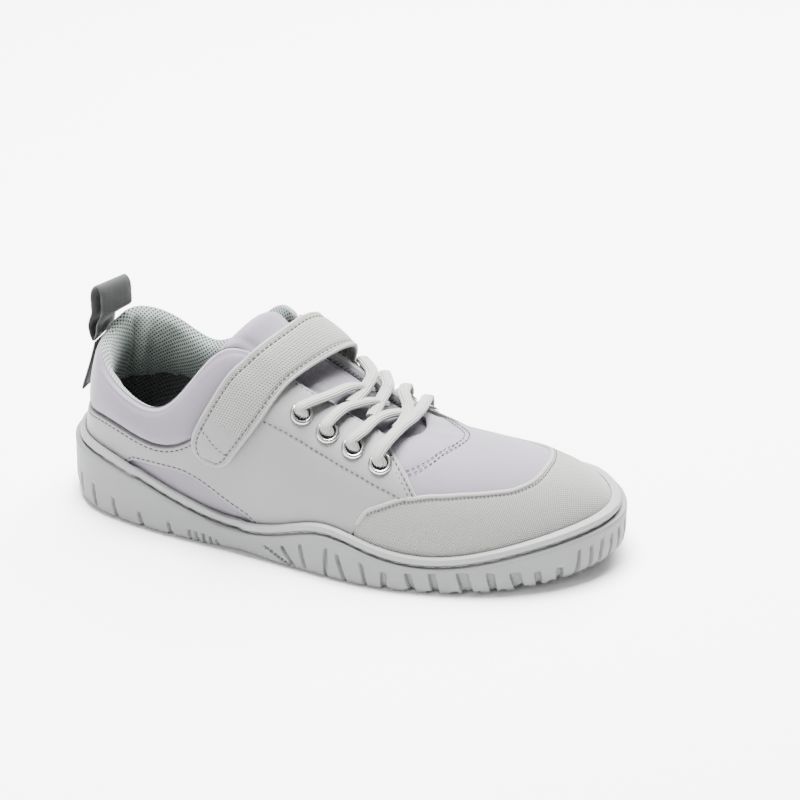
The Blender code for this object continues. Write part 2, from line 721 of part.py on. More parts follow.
def build_outsole(finish, tread):
    """The cup sole with its lugs."""
    rows = np.arange(0, ROWS, 1 / SOLE_STEPS)
    rings = sole_rings(rows)
    made = bag("outsole", rings, ground, bed, finish, rows)
    made.data.shade_flat()
    boolean(made, tread, "DIFFERENCE")
    return made


def build_insole(finish):
    """The footbed's cover, inside the upper."""
    rows = np.arange(0, ROWS, 1 / 2)
    low_edge = lining(rows, np.full(rows.shape, 0.0), np.full(rows.shape, INSOLE_GAP))
    high_edge = lining(rows, np.full(rows.shape, 0.05), np.full(rows.shape, INSOLE_GAP))
    low_plan, high_plan = low_edge[:, :2], high_edge[:, :2]

    def flat(plan_points, lift):
        return np.column_stack([plan_points, bed(plan_points[:, 0]) + lift])

    half = tread_middle(rows, 0.5, 10.0)
    low, high = 2 * CLEARANCE, 2 * CLEARANCE + INSOLE_THICKNESS
    rings = [flat(half, low), flat(low_plan, low), flat(high_plan, high), flat(half, high)]
    return bag("insole", rings, lambda x: bed(x) + low, lambda x: bed(x) + high, finish, rows)


# Tongue. Columns: outer row, rise of its middle over its edges, thickness share.
TONGUE = (
    (5.50, 2.0, 0.25),
    (5.65, 4.6, 0.70),
    (6.0, 6.4, 1.00),
    (6.5, 5.6, 1.00),
    (7.1, 3.6, 1.00),
    (7.8, 2.4, 0.90),
    (8.5, 1.9, 0.80),
    (9.1, 1.4, 0.65),
)
FLAP_SHARES = (0.86, 0.93, 1.0)
# Its foot follows the throat's front edge, then tucks under the vamp. Columns: row, share.
TONGUE_EDGE = ((9.8, 0.87), (9.8, 0.93), (9.85, 1.0), (10.5, 1.0), (12.0, 1.0))
TONGUE_TUCK = ((9.9, 0.84), (10.1, 0.88), (10.4, 0.92), (11.2, 0.935), (12.4, 0.94))
TONGUE_GAP = 0.5
TONGUE_TOP_GAP = 2.8


def tongue_section(row, crown):
    """One arch across the throat, from flap to flap under the upper's wall."""
    gap = np.full(3, np.interp(row, [6.6, 7.8], [TONGUE_TOP_GAP, TONGUE_GAP]))
    outer = lining(np.full(3, row), np.array(FLAP_SHARES), gap)
    inner = lining(np.full(3, ROWS - row), np.array(FLAP_SHARES), gap)[::-1]
    left, right = outer[-1], inner[0]
    arch = []
    for t in (0.2, 0.4, 0.6, 0.8):
        arch.append(left + (right - left) * t + np.array([0, 0, crown * math.sin(math.pi * t) ** 0.7]))
    return np.concatenate([outer, arch, inner])


def tongue_foot(table):
    """A line under the vamp from the outer side round the throat's front to the inner side."""
    outer = np.array(table)
    inner = np.column_stack([ROWS - outer[::-1, 0], outer[::-1, 1]])
    path = np.concatenate([outer, inner])
    return lining(path[:, 0], path[:, 1], np.full(len(path), TONGUE_GAP))


def build_tongue(finish):
    """The padded tongue, its foot tucked under the front of the throat."""
    sections = [tongue_section(row, crown) for row, crown, _ in TONGUE]
    sections += [tongue_foot(TONGUE_EDGE), tongue_foot(TONGUE_TUCK)]
    weights = [weight for *_, weight in TONGUE] + [0.45, 0.35]
    side = np.array([0.3, 0.5, 0.8, 1, 1, 1, 1, 0.8, 0.5, 0.3])
    heavy = np.array(weights)[:, None] * side[None, :]
    made = sheet("tongue", np.array(sections), TONGUE_THICKNESS, finish, 1.0, heavy, 0.2)
    downward = sum(face.normal.z * face.area for face in made.data.polygons)
    if downward > 0:
        made.data.flip_normals()
    return made


# Eyelets. Columns: row, share of the last's curve.
EYELETS = {
    "outer": ((7.10, 0.80), (7.62, 0.77), (8.15, 0.745), (8.68, 0.705)),
    "inner": ((ROWS - 7.56, 0.80), (ROWS - 8.03, 0.77), (ROWS - 8.49, 0.745), (ROWS - 8.96, 0.72)),
}


def eyelet_seat(side, number):
    """Where an eyelet sits on the quarter and which way it faces."""
    row, share = EYELETS[side][number - 1]
    point = skin(np.array(row), np.array(share), np.array(OVERLAY_GAP + LAYER))
    return point, last_normal(np.array(row), np.array(share))


def eyelet_mesh(finish):
    """A rolled ring, turned about its axis from a half section."""
    hole, outside = EYELET_HOLE / 2, EYELET_OUTSIDE / 2
    section = (
        (outside, 0.0),
        (outside - 0.8, 0.8 * EYELET_HEIGHT),
        (hole + 0.8, EYELET_HEIGHT),
        (hole, 0.0),
    )
    mesh = bpy.data.meshes.new("eyelet")
    count = len(section)
    edges = [(k, (k + 1) % count) for k in range(count)]
    mesh.from_pydata([(x * MM, 0, z * MM) for x, z in section[::-1]], edges, [])
    mesh.materials.append(finish)
    return mesh


def build_eyelets(finish):
    mesh = eyelet_mesh(finish)
    for side in EYELETS:
        for number in range(1, 5):
            made = bpy.data.objects.new(f"eyelet_{side}_{number}", mesh)
            turn = made.modifiers.new("turn", "SCREW")
            turn.steps = turn.render_steps = 12
            turn.use_merge_vertices = True
            turn.merge_threshold = 0.0001
            point, normal = eyelet_seat(side, number)
            lift = CLEARANCE + EYELET_LIFT
            place = Vector((point + normal * lift) * MM)
            turned = Vector(normal).to_track_quat("Z", "Y").to_matrix().to_4x4()
            made.matrix_world = Matrix.Translation(place) @ turned
            shoe.objects.link(made)


def build_holes():
    """Round cutters through the quarter and the upper under each eyelet."""
    holes = bpy.data.collections.new("eyelet_holes")
    cutters.children.link(holes)
    for side in EYELETS:
        for number in range(1, 5):
            bpy.ops.mesh.primitive_cylinder_add(vertices=12, radius=EYELET_HOLE / 2 * MM, depth=12 * MM)
            made = bpy.context.object
            made.name = f"hole_{side}_{number}"
            point, normal = eyelet_seat(side, number)
            turned = Vector(normal).to_track_quat("Z", "Y").to_matrix().to_4x4()
            made.matrix_world = Matrix.Translation(Vector(point * MM)) @ turned
            for holder in list(made.users_collection):
                holder.objects.unlink(made)
            holes.objects.link(helper(made))
    return holes


# Laces. Each bar rises from its eyelet and crosses the throat. Columns: row, share of the way from the
# throat's outer edge to its inner edge, height above that line.
LACES = {
    "outer_1": ((7.96, 0.0, 4.6), (8.23, 0.38, 5.0), (8.46, 0.61, 4.2), (8.65, 0.74, 3.2)),
    "inner_1": ((8.55, 1.0, 5.6), (8.55, 0.63, 4.7), (8.47, 0.30, 3.9), (8.38, 0.12, 3.3)),
    "outer_2": ((8.30, -0.17, 4.4), (8.50, 0.08, 4.9), (8.80, 0.40, 4.6), (9.15, 0.62, 3.3)),
    "inner_2": ((9.01, 1.0, 5.6), (9.03, 0.83, 5.2), (9.0, 0.50, 4.3), (8.99, 0.10, 3.9)),
    "outer_3": ((8.95, -0.38, 4.2), (9.12, 0.01, 4.8), (9.38, 0.31, 4.6), (9.77, 0.59, 3.4)),
    "inner_3": ((9.55, 1.04, 5.4), (10.0, 0.71, 5.2), (10.08, 0.30, 4.2), (9.92, 0.04, 3.4)),
    "outer_4": ((9.80, -0.48, 4.4), (10.12, -0.02, 5.2), (10.64, 0.36, 6.0), (10.9, 0.82, 6.0)),
}
LACE_ENTRY = 3.9
LACE_SQUEEZE = 0.8
LACE_SLOPE = 27.0
LACE_STEPS = 11
LACE_RISE = 4.6
LACE_LEAN = 2.5


def over_throat(row, across, height):
    """A point above the throat."""
    outer = skin(np.array(row), np.array(1.0))
    inner = skin(np.array(ROWS - row), np.array(1.0))
    return outer + (inner - outer) * across + np.array([0, 0, height])


def from_eyelet(side, number):
    """The first points of a bar, just above its eyelet and on towards the throat."""
    point, normal = eyelet_seat(side, number)
    row, share = EYELETS[side][number - 1]
    inward = unit(skin(np.array(row), np.array(share + 0.05)) - skin(np.array(row), np.array(share)))
    return [point + normal * LACE_ENTRY - inward * 1.5, point + normal * LACE_RISE + inward * LACE_LEAN]


def lace_routes():
    """Routes of the seven bars; the last one runs from eyelet to eyelet."""
    routes = {}
    for name, way in LACES.items():
        side, number = name.split("_")
        routes[name] = from_eyelet(side, int(number)) + [over_throat(*place) for place in way]
    routes["outer_4"] += from_eyelet("inner", 4)[::-1]
    return routes


def lace_profile():
    """The flat oval section of the lace."""
    profile = bpy.data.curves.new("lace_profile", "CURVE")
    profile.dimensions = "2D"
    spline = profile.splines.new("POLY")
    count = 6
    spline.points.add(count - 1)
    for index in range(count):
        turn = 2 * math.pi * index / count
        spline.points[index].co = (LACE_WIDTH / 2 * math.cos(turn) * MM, LACE_THICKNESS / 2 * math.sin(turn) * MM, 0, 1)
    spline.use_cyclic_u = True
    made = bpy.data.objects.new("lace_profile", profile)
    cutters.objects.link(made)
    return helper(made)


def even_path(points, count):
    """Points at even steps along a smooth open curve."""
    fine = smooth_path(points, 12 * len(points))
    reach = np.concatenate([[0.0], np.cumsum(np.linalg.norm(np.diff(fine, axis=0), axis=1))])
    steps = np.linspace(0, reach[-1], count)
    return np.column_stack([np.interp(steps, reach, fine[:, axis]) for axis in range(3)])


def smooth_path(points, count):
    """Points along a smooth open curve through given points (Catmull and Rom)."""
    points = np.asarray(points, float)
    padded = np.concatenate([2 * points[:1] - points[1:2], points, 2 * points[-1:] - points[-2:-1]])
    result = []
    for place in np.linspace(0, len(points) - 1, count):
        k = min(int(place), len(points) - 2)
        t = place - k
        a, b, c, d = padded[k : k + 4]
        result.append(0.5 * (2 * b + (c - a) * t + (2 * a - 5 * b + 4 * c - d) * t**2 + (3 * b - a - 3 * c + d) * t**3))
    return np.array(result)


def tube_mesh(name, route, profile, finish):
    """A lace bar along a route, made a mesh with welded caps."""
    curve = bpy.data.curves.new(name, "CURVE")
    curve.dimensions = "3D"
    curve.twist_mode = "Z_UP"
    curve.bevel_mode = "OBJECT"
    curve.bevel_object = profile
    curve.use_fill_caps = True
    path = even_path(route, LACE_STEPS)
    slope = math.radians(LACE_SLOPE)
    spline = curve.splines.new("POLY")
    spline.points.add(len(path) - 1)
    for point, place, ahead in zip(spline.points, path, np.gradient(path, axis=0)):
        point.co = (*(place * MM), 1)
        point.tilt = slope * ahead[1] / np.linalg.norm(ahead)
    spline.points[0].radius = LACE_SQUEEZE
    spline.points[-1].radius = LACE_SQUEEZE
    guide = bpy.data.objects.new(name, curve)
    cutters.objects.link(guide)
    bpy.context.view_layer.update()
    graph = bpy.context.evaluated_depsgraph_get()
    mesh = bpy.data.meshes.new_from_object(guide.evaluated_get(graph))
    work = bmesh.new()
    work.from_mesh(mesh)
    bmesh.ops.remove_doubles(work, verts=work.verts, dist=0.00001)
    bmesh.ops.recalc_face_normals(work, faces=work.faces)
    work.to_mesh(mesh)
    work.free()
    bpy.data.objects.remove(guide)
    mesh.materials.clear()
    mesh.materials.append(finish)
    return bpy.data.objects.new(name, mesh)


def build_laces(finish):
    """The bars joined where they cross."""
    profile = lace_profile()
    bars = [tube_mesh(f"lace_{name}", route, profile, finish) for name, route in lace_routes().items()]
    others = bpy.data.collections.new("lace_bars")
    cutters.children.link(others)
    for bar in bars[1:]:
        others.objects.link(helper(bar))
    first = bars[0]
    first.name = "laces"
    shoe.objects.link(first)
    boolean(first, others, "UNION")
    return first


# Strap: a band from a rounded tip on the outer quarter, over the instep, to its sewn end inside. Columns:
# place, then x, y, z of its heel edge and of its toe edge as shares of length, ball width and collar height.
STRAP = (
    ("tip", 0.2940, -0.361, 0.545, 0.3200, -0.376, 0.527),
    ("tip round", 0.2780, -0.358, 0.600, 0.3400, -0.380, 0.562),
    ("tip root", 0.2790, -0.355, 0.695, 0.3530, -0.378, 0.622),
    ("side", 0.3090, -0.337, 0.901, 0.3780, -0.362, 0.745),
    ("side top", 0.3360, -0.298, 1.055, 0.3970, -0.331, 0.845),
    ("shoulder outer", 0.3555, -0.249, 1.118, 0.4130, -0.278, 0.935),
    ("over outer edge", 0.3740, -0.195, 1.175, 0.4280, -0.215, 1.000),
    ("crown outer", 0.4010, -0.050, 1.215, 0.4480, -0.120, 1.035),
    ("crown", 0.4160, 0.060, 1.222, 0.4720, -0.010, 1.058),
    ("crown inner", 0.4270, 0.155, 1.190, 0.4860, 0.090, 1.050),
    ("shoulder inner", 0.4270, 0.230, 1.115, 0.4940, 0.185, 1.010),
    ("side inner", 0.4190, 0.280, 1.015, 0.4900, 0.250, 0.935),
    ("end root", 0.4080, 0.308, 0.915, 0.4810, 0.296, 0.840),
    ("end round", 0.4040, 0.331, 0.825, 0.4690, 0.328, 0.755),
    ("end", 0.4180, 0.343, 0.765, 0.4530, 0.343, 0.730),
)
STRAP_EDGE_SHARES = (0.0, 0.08, 0.16, 0.5, 0.84, 0.92, 1.0)
STRAP_STEPS = 26
# The strap's height follows the collar at its heel edge and the instep further forward
STRAP_COLLAR_END = 0.345
STRAP_INSTEP_START = 0.425
STRAP_INSTEP_SHARE = 1.377


def build_strap(finish):
    """The band, a little bowed across its width, with a raised rim all round."""
    edges = np.array([row[1:] for row in STRAP], float)
    forward = np.interp(edges[:, [0, 3]], [STRAP_COLLAR_END, STRAP_INSTEP_START], [0.0, 1.0])
    height = COLLAR_HEIGHT * (1 - forward) + STRAP_INSTEP_SHARE * INSTEP_HEIGHT * forward
    edges *= np.tile([SOLE_LENGTH, BALL_WIDTH, 1.0], 2)
    edges[:, [2, 5]] *= height
    path = smooth_path(edges, STRAP_STEPS)
    heel_edge, toe_edge = path[:, None, :3], path[:, None, 3:]
    share = np.array(STRAP_EDGE_SHARES)[None, :, None]
    points = heel_edge + (toe_edge - heel_edge) * share
    along = np.gradient(points, axis=0)
    out = unit(np.cross(along, np.broadcast_to(toe_edge - heel_edge, points.shape)))
    if out[STRAP_STEPS // 2, 3, 2] < 0:
        out = -out
    points = points + out * (STRAP_BOW * 4 * share * (1 - share))
    heavy = np.zeros(points.shape[:2])
    heavy[:, [0, -1]] = 0.5
    heavy[:, [1, -2]] = 1.0
    heavy[[0, -1], :] = 0.5
    heavy[[1, -2], 1:-1] = 1.0
    total = STRAP_THICKNESS + STRAP_RIM
    made = sheet("strap", points, total, finish, 1.0, heavy, STRAP_THICKNESS / total)
    return face_outwards(made, (100.0, 0.0, 20.0))


# Pull loop: a tape folded to a tall teardrop behind the collar. Columns: back from the seat as a share of
# the loop's height, up from it.
LOOP = (
    (0.02, 0.00),
    (0.075, 0.13),
    (0.11, 0.40),
    (0.13, 0.65),
    (0.12, 0.88),
    (0.04, 1.00),
    (-0.045, 0.90),
    (-0.06, 0.65),
    (-0.06, 0.40),
    (-0.045, 0.13),
)
HEEL_CENTRE_ROW = -0.25
LOOP_SEAT_DROP = 5.7
LOOP_TWIST_START = COLLAR_HEIGHT + 1.0
LOOP_TWIST_RISE = 9.0
LOOP_TWIST = 22.0
LOOP_LEAN = 6.0


def heel_seat(height):
    """A point of the heel's back line at a height and its outward direction in plan."""
    row = np.array(HEEL_CENTRE_ROW)
    share = share_at_height(row, np.array(height), 0.985)
    out = last_normal(row, share) * np.array([1.0, 1.0, 0.0])
    return skin(row, share, np.array(CLEARANCE)), unit(out)


def tape_width(out, turn=0.0):
    """The direction of a tape's width, square to a direction in plan and turned towards the toe."""
    angle = math.atan2(out[0], -out[1]) - math.radians(turn)
    return np.array([math.cos(angle), math.sin(angle), 0.0])


def build_pull_loop(finish):
    """The tape loop behind the collar, turned and leaning inwards above it."""
    seat, out = heel_seat(COLLAR_HEIGHT - LOOP_SEAT_DROP)
    seat = seat + out * TAPE_THICKNESS
    ring = smooth_ring(np.array(LOOP) * LOOP_HEIGHT, 20)
    sections = []
    for back, up in ring:
        height = seat[2] + up
        turned = min(max((height - LOOP_TWIST_START) / LOOP_TWIST_RISE, 0.0), 1.0)
        turned = turned * turned * (3 - 2 * turned)
        wide = tape_width(out, LOOP_TWIST * turned)
        place = seat + out * (back - LOOP_LEAN * turned) + np.array([0.0, 0.0, up])
        sections.append([place + wide * LOOP_WIDTH * share for share in (-0.5, 0.0, 0.5)])
    points = np.array(sections)
    made = mesh_object("pull_loop", points, grid_faces(len(points), 3, True, False), finish)
    face_outwards(made, points[:, 1].mean(axis=0))
    solidify(made, TAPE_THICKNESS, 0.0)
    return made


def smooth_ring(points, count):
    """Points along a smooth closed curve."""
    points = np.asarray(points, float)
    size = len(points)
    result = []
    for place in np.arange(count) * size / count:
        k = int(place)
        t = place - k
        a, b, c, d = (points[(k + n) % size] for n in (-1, 0, 1, 2))
        result.append(0.5 * (2 * b + (c - a) * t + (2 * a - 5 * b + 4 * c - d) * t**2 + (3 * b - a - 3 * c + d) * t**3))
    return np.array(result)


TAB_TOP_DROP = 7.0
TAB_STANDOFF = 3.0


def build_heel_tab(finish):
    """The blank tape tab down the heel, standing off at its lower end."""
    sections = []
    for step in np.linspace(0, 1, 6):
        seat, out = heel_seat(COLLAR_HEIGHT - TAB_TOP_DROP - TAB_LENGTH * step)
        place = seat + out * TAB_STANDOFF * step**2
        sections.append([place + tape_width(out) * LOOP_WIDTH * share for share in (-0.5, -0.17, 0.17, 0.5)])
    made = sheet("heel_tab", np.array(sections), TAPE_THICKNESS, finish)
    return face_outwards(made, (60.0, 0.0, 55.0))


def centre_on_floor(rings):
    """Parents every piece to one empty that puts the middle of the sole's rings over the origin."""
    points = np.concatenate(rings)
    low, high = points.min(axis=0), points.max(axis=0)
    frame = bpy.data.objects.new("shoe_frame", None)
    shoe.objects.link(frame)
    frame.location = Vector((-(low[0] + high[0]) / 2, -(low[1] + high[1]) / 2, -low[2])) * MM
    for holder in (shoe, cutters, *cutters.children_recursive):
        for made in holder.objects:
            if made is not frame and made.parent is None:
                made.parent = frame


def main():
    clear_scene()
    look = finishes()
    tread = build_tread_cutters()
    holes = build_holes()
    build_laces(look["lace"])
    upper = build_upper(look["softshell"])
    boolean(upper, holes, "DIFFERENCE")
    build_quarter(look["microfibre"], holes)
    build_toe_cap(look["woven"])
    build_outsole(look["rubber"], tread)
    build_insole(look["insole mesh"])
    build_tongue(look["softshell"])
    build_eyelets(look["metal"])
    build_strap(look["woven"])
    build_pull_loop(look["tape"])
    build_heel_tab(look["tape"])
    centre_on_floor(sole_rings(np.arange(0, ROWS, 1 / SOLE_STEPS)))


main()
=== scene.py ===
"""Looks of a low barefoot shoe for the right foot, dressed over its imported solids."""

import logging
import math
from dataclasses import dataclass, field
from enum import Enum
from typing import Callable, Optional, Sequence

import bpy
import numpy as np
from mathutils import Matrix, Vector


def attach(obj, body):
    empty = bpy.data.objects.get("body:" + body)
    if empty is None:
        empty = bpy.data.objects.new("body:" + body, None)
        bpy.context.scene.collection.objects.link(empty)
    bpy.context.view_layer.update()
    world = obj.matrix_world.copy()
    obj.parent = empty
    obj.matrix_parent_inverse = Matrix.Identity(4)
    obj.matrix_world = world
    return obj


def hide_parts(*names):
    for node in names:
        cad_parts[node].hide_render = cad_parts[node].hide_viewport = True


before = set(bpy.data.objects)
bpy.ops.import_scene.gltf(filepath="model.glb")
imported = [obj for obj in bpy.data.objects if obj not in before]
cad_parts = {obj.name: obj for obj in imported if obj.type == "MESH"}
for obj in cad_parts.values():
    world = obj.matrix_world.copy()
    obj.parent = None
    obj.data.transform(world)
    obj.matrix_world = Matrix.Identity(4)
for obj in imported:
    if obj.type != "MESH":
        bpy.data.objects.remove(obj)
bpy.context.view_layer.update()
LOG = logging.getLogger("barefoot_shoe")

Array = np.ndarray
Colour = tuple[float, float, float]
Table = tuple[tuple[float, ...], ...]
Material = bpy.types.Material
Piece = bpy.types.Object
Socket = bpy.types.NodeSocket
ROWS = 26
TOE_ROW = 13
EYELET_OPENING = 3.9
STITCH_STEP = 0.02


# The last


def unit(vectors: Array) -> Array:
    """Vectors scaled to length one."""
    return vectors / np.maximum(np.linalg.norm(vectors, axis=-1, keepdims=True), 1e-9)


def rounded(distance: Array, radius: float) -> Array:
    """Height of a rounded edge, 0 at the edge to 1 a radius inside it.

    Args:
        distance: Distance from the edge.
        radius: Radius of the rounding.

    Returns:
        The share of the full thickness.
    """
    inside = np.clip(distance / radius, 0, 1)
    return np.sqrt(np.clip(1 - (1 - inside) ** 2, 0, 1))


def ridge(distance: Array, width: float) -> Array:
    """A soft bell of height one and a half width around distance zero."""
    return np.exp(-((distance / width) ** 2))


def ring_bend(values: Array) -> Array:
    """Second derivatives of the smooth closed curve through the rows.

    Args:
        values: What each row holds.

    Returns:
        The bend at each row.
    """
    count = len(values)
    matrix = 4 * np.eye(count) + np.roll(np.eye(count), 1, 1) + np.roll(np.eye(count), -1, 1)
    return np.linalg.solve(matrix, 6 * (np.roll(values, -1, 0) - 2 * values + np.roll(values, 1, 0)))


def smooth_path(points: Array, count: int, closed: bool = False) -> Array:
    """Points along a smooth curve through given points, whatever they hold.

    Args:
        points: Given points, one a row.
        count: How many points to return.
        closed: Whether the curve returns to its start.

    Returns:
        The curve's points.
    """
    points = np.asarray(points, float)
    size = len(points)
    if closed:
        places = np.arange(count) * size / count
        around = np.concatenate([points[-1:], points, points[:2]])
    else:
        places = np.linspace(0, size - 1, count)
        around = np.concatenate([2 * points[:1] - points[1:2], points, 2 * points[-1:] - points[-2:-1]])
    low = np.minimum(places.astype(int), size - 1 if closed else size - 2)
    t = (places - low).reshape((-1,) + (1,) * (points.ndim - 1))
    a, b, c, d = (around[low + n] for n in range(4))
    return 0.5 * (2 * b + (c - a) * t + (2 * a - 5 * b + 4 * c - d) * t**2 + (3 * b - a - 3 * c + d) * t**3)


def even_path(points: Array, step: float) -> Array:
    """Points at even steps along a smooth open curve.

    Args:
        points: Given points.
        step: Distance between two points of the result.

    Returns:
        The curve's points.
    """
    fine = smooth_path(points, 24 * len(points))
    reach = lengths(fine)
    places = np.linspace(0, reach[-1], max(int(reach[-1] / step), 2))
    return at_lengths(places, reach, fine)


def lengths(points: Array, axis: int = 0) -> Array:
    """Distances along the lines of a grid of points, from the first point of each."""
    steps = np.linalg.norm(np.diff(points, axis=axis), axis=-1)
    return np.concatenate([np.zeros_like(np.take(steps, [0], axis)), np.cumsum(steps, axis=axis)], axis=axis)


def at_lengths(places: Array | float, reach: Array, line: Array) -> Array:
    """What a line of points holds at given distances along it."""
    return np.stack([np.interp(places, reach, line[:, axis]) for axis in range(3)], -1)


def turns(count: int) -> Array:
    """Even angles round a circle."""
    return np.linspace(0, 2 * np.pi, count, endpoint=False)


def tube(path: Array, side: Array, out: Array, flat: Array, high: Array) -> Array:
    """Rings round a path, from their points' distances across it and out of it."""
    return path[:, None] + side[:, None] * flat[..., None] + out[:, None] * high[..., None]


@dataclass(frozen=True)
class Last:
    """The shoe's last: a curve from the sole's edge to the top line at every row round the foot.

    Row 0 is the heel's back, rows 1 to 12 the outer side, 13 the toe and 14 to 25 the inner side.
    Sizes are in millimetres from the heel's back; heel_to_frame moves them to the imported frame.
    """

    sole_length: float = 268.0
    heel_width: float = 72.0
    ball_width: float = 101.0
    collar_height: float = 84.0
    instep_height: float = 61.0
    rim_height: float = 36.0
    sole_thickness: float = 7.0
    toe_spring: float = 7.4
    heel_lift: float = 3.0
    waist_lift: float = 1.5
    toe_spring_start: float = 0.69
    heel_lift_end: float = 0.082
    waist_middle: float = 0.362
    waist_reach: float = 0.075
    feather_inset: float = 6.0
    fan_length: float = 15.0
    clearance: float = 0.3
    wall: float = 2.2
    collar_swell: float = 2.6
    collar_pad: float = 5.0
    full_collar: float = 12.0
    heel_to_frame: tuple[float, float, float] = (-133.196, -1.0547, 0.0)
    # A line for each row: the sole's edge as shares of the length and of the heel's or ball's width; the top line
    # the same, with its height as a share of the collar's or instep's; the collar seam's height as a share of the
    # collar's; the wall's lean in degrees and reach; the crown's slope in degrees and reach; and the rim's height
    shares: Table = (
        (0.000, 0.03, 0.063, 0.03, 0.99, 0.57, 5, 0.34, 84, 0.40, 0.97),
        (0.019, -0.19, 0.071, -0.18, 0.95, 0.58, 4, 0.34, 84, 0.40, 1.00),
        (0.063, -0.36, 0.101, -0.31, 0.86, 0.61, 3, 0.34, 84, 0.38, 1.01),
        (0.138, -0.46, 0.153, -0.40, 0.78, 0.585, 4, 0.36, 84, 0.36, 0.92),
        (0.228, -0.52, 0.216, -0.42, 0.786, 0.555, 5, 0.38, 82, 0.34, 0.68),
        (0.325, -0.40, 0.276, -0.257, 1.024, 0.72, 5, 0.40, 74, 0.34, 0.485),
        (0.422, -0.436, 0.336, -0.193, 1.149, 1.02, 5, 0.42, 55, 0.32, 0.54),
        (0.519, -0.475, 0.422, -0.153, 1.37, 1.10, 5, 0.42, 38, 0.34, 0.75),
        (0.612, -0.493, 0.500, -0.144, 1.188, 1.00, 6, 0.40, 28, 0.38, 0.61),
        (0.705, -0.463, 0.567, -0.144, 1.041, 0.95, 7, 0.40, 16, 0.42, 0.515),
        (0.795, -0.401, 0.614, -0.124, 0.980, 0.90, 8, 0.38, 9, 0.46, 0.595),
        (0.877, -0.297, 0.636, -0.084, 0.965, 0.90, 10, 0.36, 5, 0.47, 0.72),
        (0.948, -0.139, 0.646, -0.035, 0.955, 0.90, 11, 0.36, 3, 0.50, 0.82),
        (0.994, 0.109, 0.647, 0.015, 0.950, 0.90, 10, 0.35, 5, 0.50, 0.875),
        (0.955, 0.361, 0.644, 0.059, 0.950, 0.90, 8, 0.31, 13, 0.44, 0.86),
        (0.892, 0.465, 0.632, 0.104, 0.960, 0.90, 7, 0.29, 22, 0.38, 0.79),
        (0.813, 0.510, 0.608, 0.134, 0.985, 0.90, 6, 0.29, 29, 0.36, 0.72),
        (0.724, 0.505, 0.563, 0.144, 1.068, 0.97, 6, 0.32, 34, 0.36, 0.65),
        (0.627, 0.460, 0.496, 0.144, 1.238, 1.05, 6, 0.38, 38, 0.36, 0.65),
        (0.526, 0.401, 0.428, 0.153, 1.432, 1.15, 5, 0.42, 40, 0.34, 0.74),
        (0.425, 0.351, 0.369, 0.193, 1.190, 1.08, 4, 0.42, 55, 0.32, 0.72),
        (0.321, 0.332, 0.302, 0.252, 1.012, 0.76, 3, 0.40, 74, 0.34, 0.69),
        (0.216, 0.465, 0.231, 0.395, 0.853, 0.60, 4, 0.38, 82, 0.34, 0.75),
        (0.127, 0.430, 0.164, 0.388, 0.952, 0.60, 4, 0.36, 84, 0.36, 0.89),
        (0.056, 0.345, 0.104, 0.310, 1.036, 0.60, 3, 0.34, 84, 0.38, 1.00),
        (0.015, 0.220, 0.073, 0.195, 1.030, 0.58, 4, 0.34, 84, 0.40, 1.00),
    )
    table: Array = field(init=False, repr=False, compare=False)
    bend: Array = field(init=False, repr=False, compare=False)

    def __post_init__(self) -> None:
        """Works out the rows' table from the named sizes."""
        table = np.array(self.shares, float)
        table[:, [0, 2]] *= self.sole_length
        table[:, [1, 3]] *= np.repeat([self.heel_width, self.ball_width, self.heel_width], (5, 17, 4))[:, None]
        table[:, 4] *= np.repeat([self.collar_height, self.instep_height, self.collar_height], (7, 13, 6))
        table[:, 5] *= self.collar_height
        table[:, 10] *= self.rim_height
        object.__setattr__(self, "table", table)
        object.__setattr__(self, "bend", ring_bend(table))

    def values(self, row: Array) -> Array:
        """Every column of the last at a row, whole or between two.

        Args:
            row: Rows, whole or between two.

        Returns:
            The table's columns at each row.
        """
        row = np.asarray(row, float)
        low = np.floor(row).astype(int)
        share = (row - low)[..., None]
        rest = 1 - share
        here, after = low % ROWS, (low + 1) % ROWS
        bend = ((rest**3 - rest) * self.bend[here] + (share**3 - share) * self.bend[after]) / 6
        return rest * self.table[here] + share * self.table[after] + bend

    def ground(self, x: Array) -> Array:
        """Height of the tread above the floor at a distance from the heel's back.

        Args:
            x: Distances from the heel's back.

        Returns:
            Heights of the tread.
        """
        along = np.asarray(x, float) / self.sole_length
        toe = np.clip((along - self.toe_spring_start) / (1 - self.toe_spring_start), 0, None)
        heel = np.clip(1 - along / self.heel_lift_end, 0, None)
        waist = np.clip(1 - np.abs(along - self.waist_middle) / self.waist_reach, 0, 1)
        return self.toe_spring * toe**2 + self.heel_lift * heel**2 + self.waist_lift * waist**2 * (3 - 2 * waist)

    def outline(self, row: Array, inset: float = 0.0) -> tuple[Array, Array]:
        """Points of the sole's edge, moved in, and its outward directions in plan.

        Args:
            row: Rows, whole or between two.
            inset: How far the points are moved in.

        Returns:
            The points and the directions.
        """
        row = np.asarray(row, float)
        point = self.values(row)[..., :2]
        along = self.values(row + 0.02)[..., :2] - self.values(row - 0.02)[..., :2]
        out = unit(np.stack([along[..., 1], -along[..., 0]], -1))
        return point - out * np.asarray(inset)[..., None], out

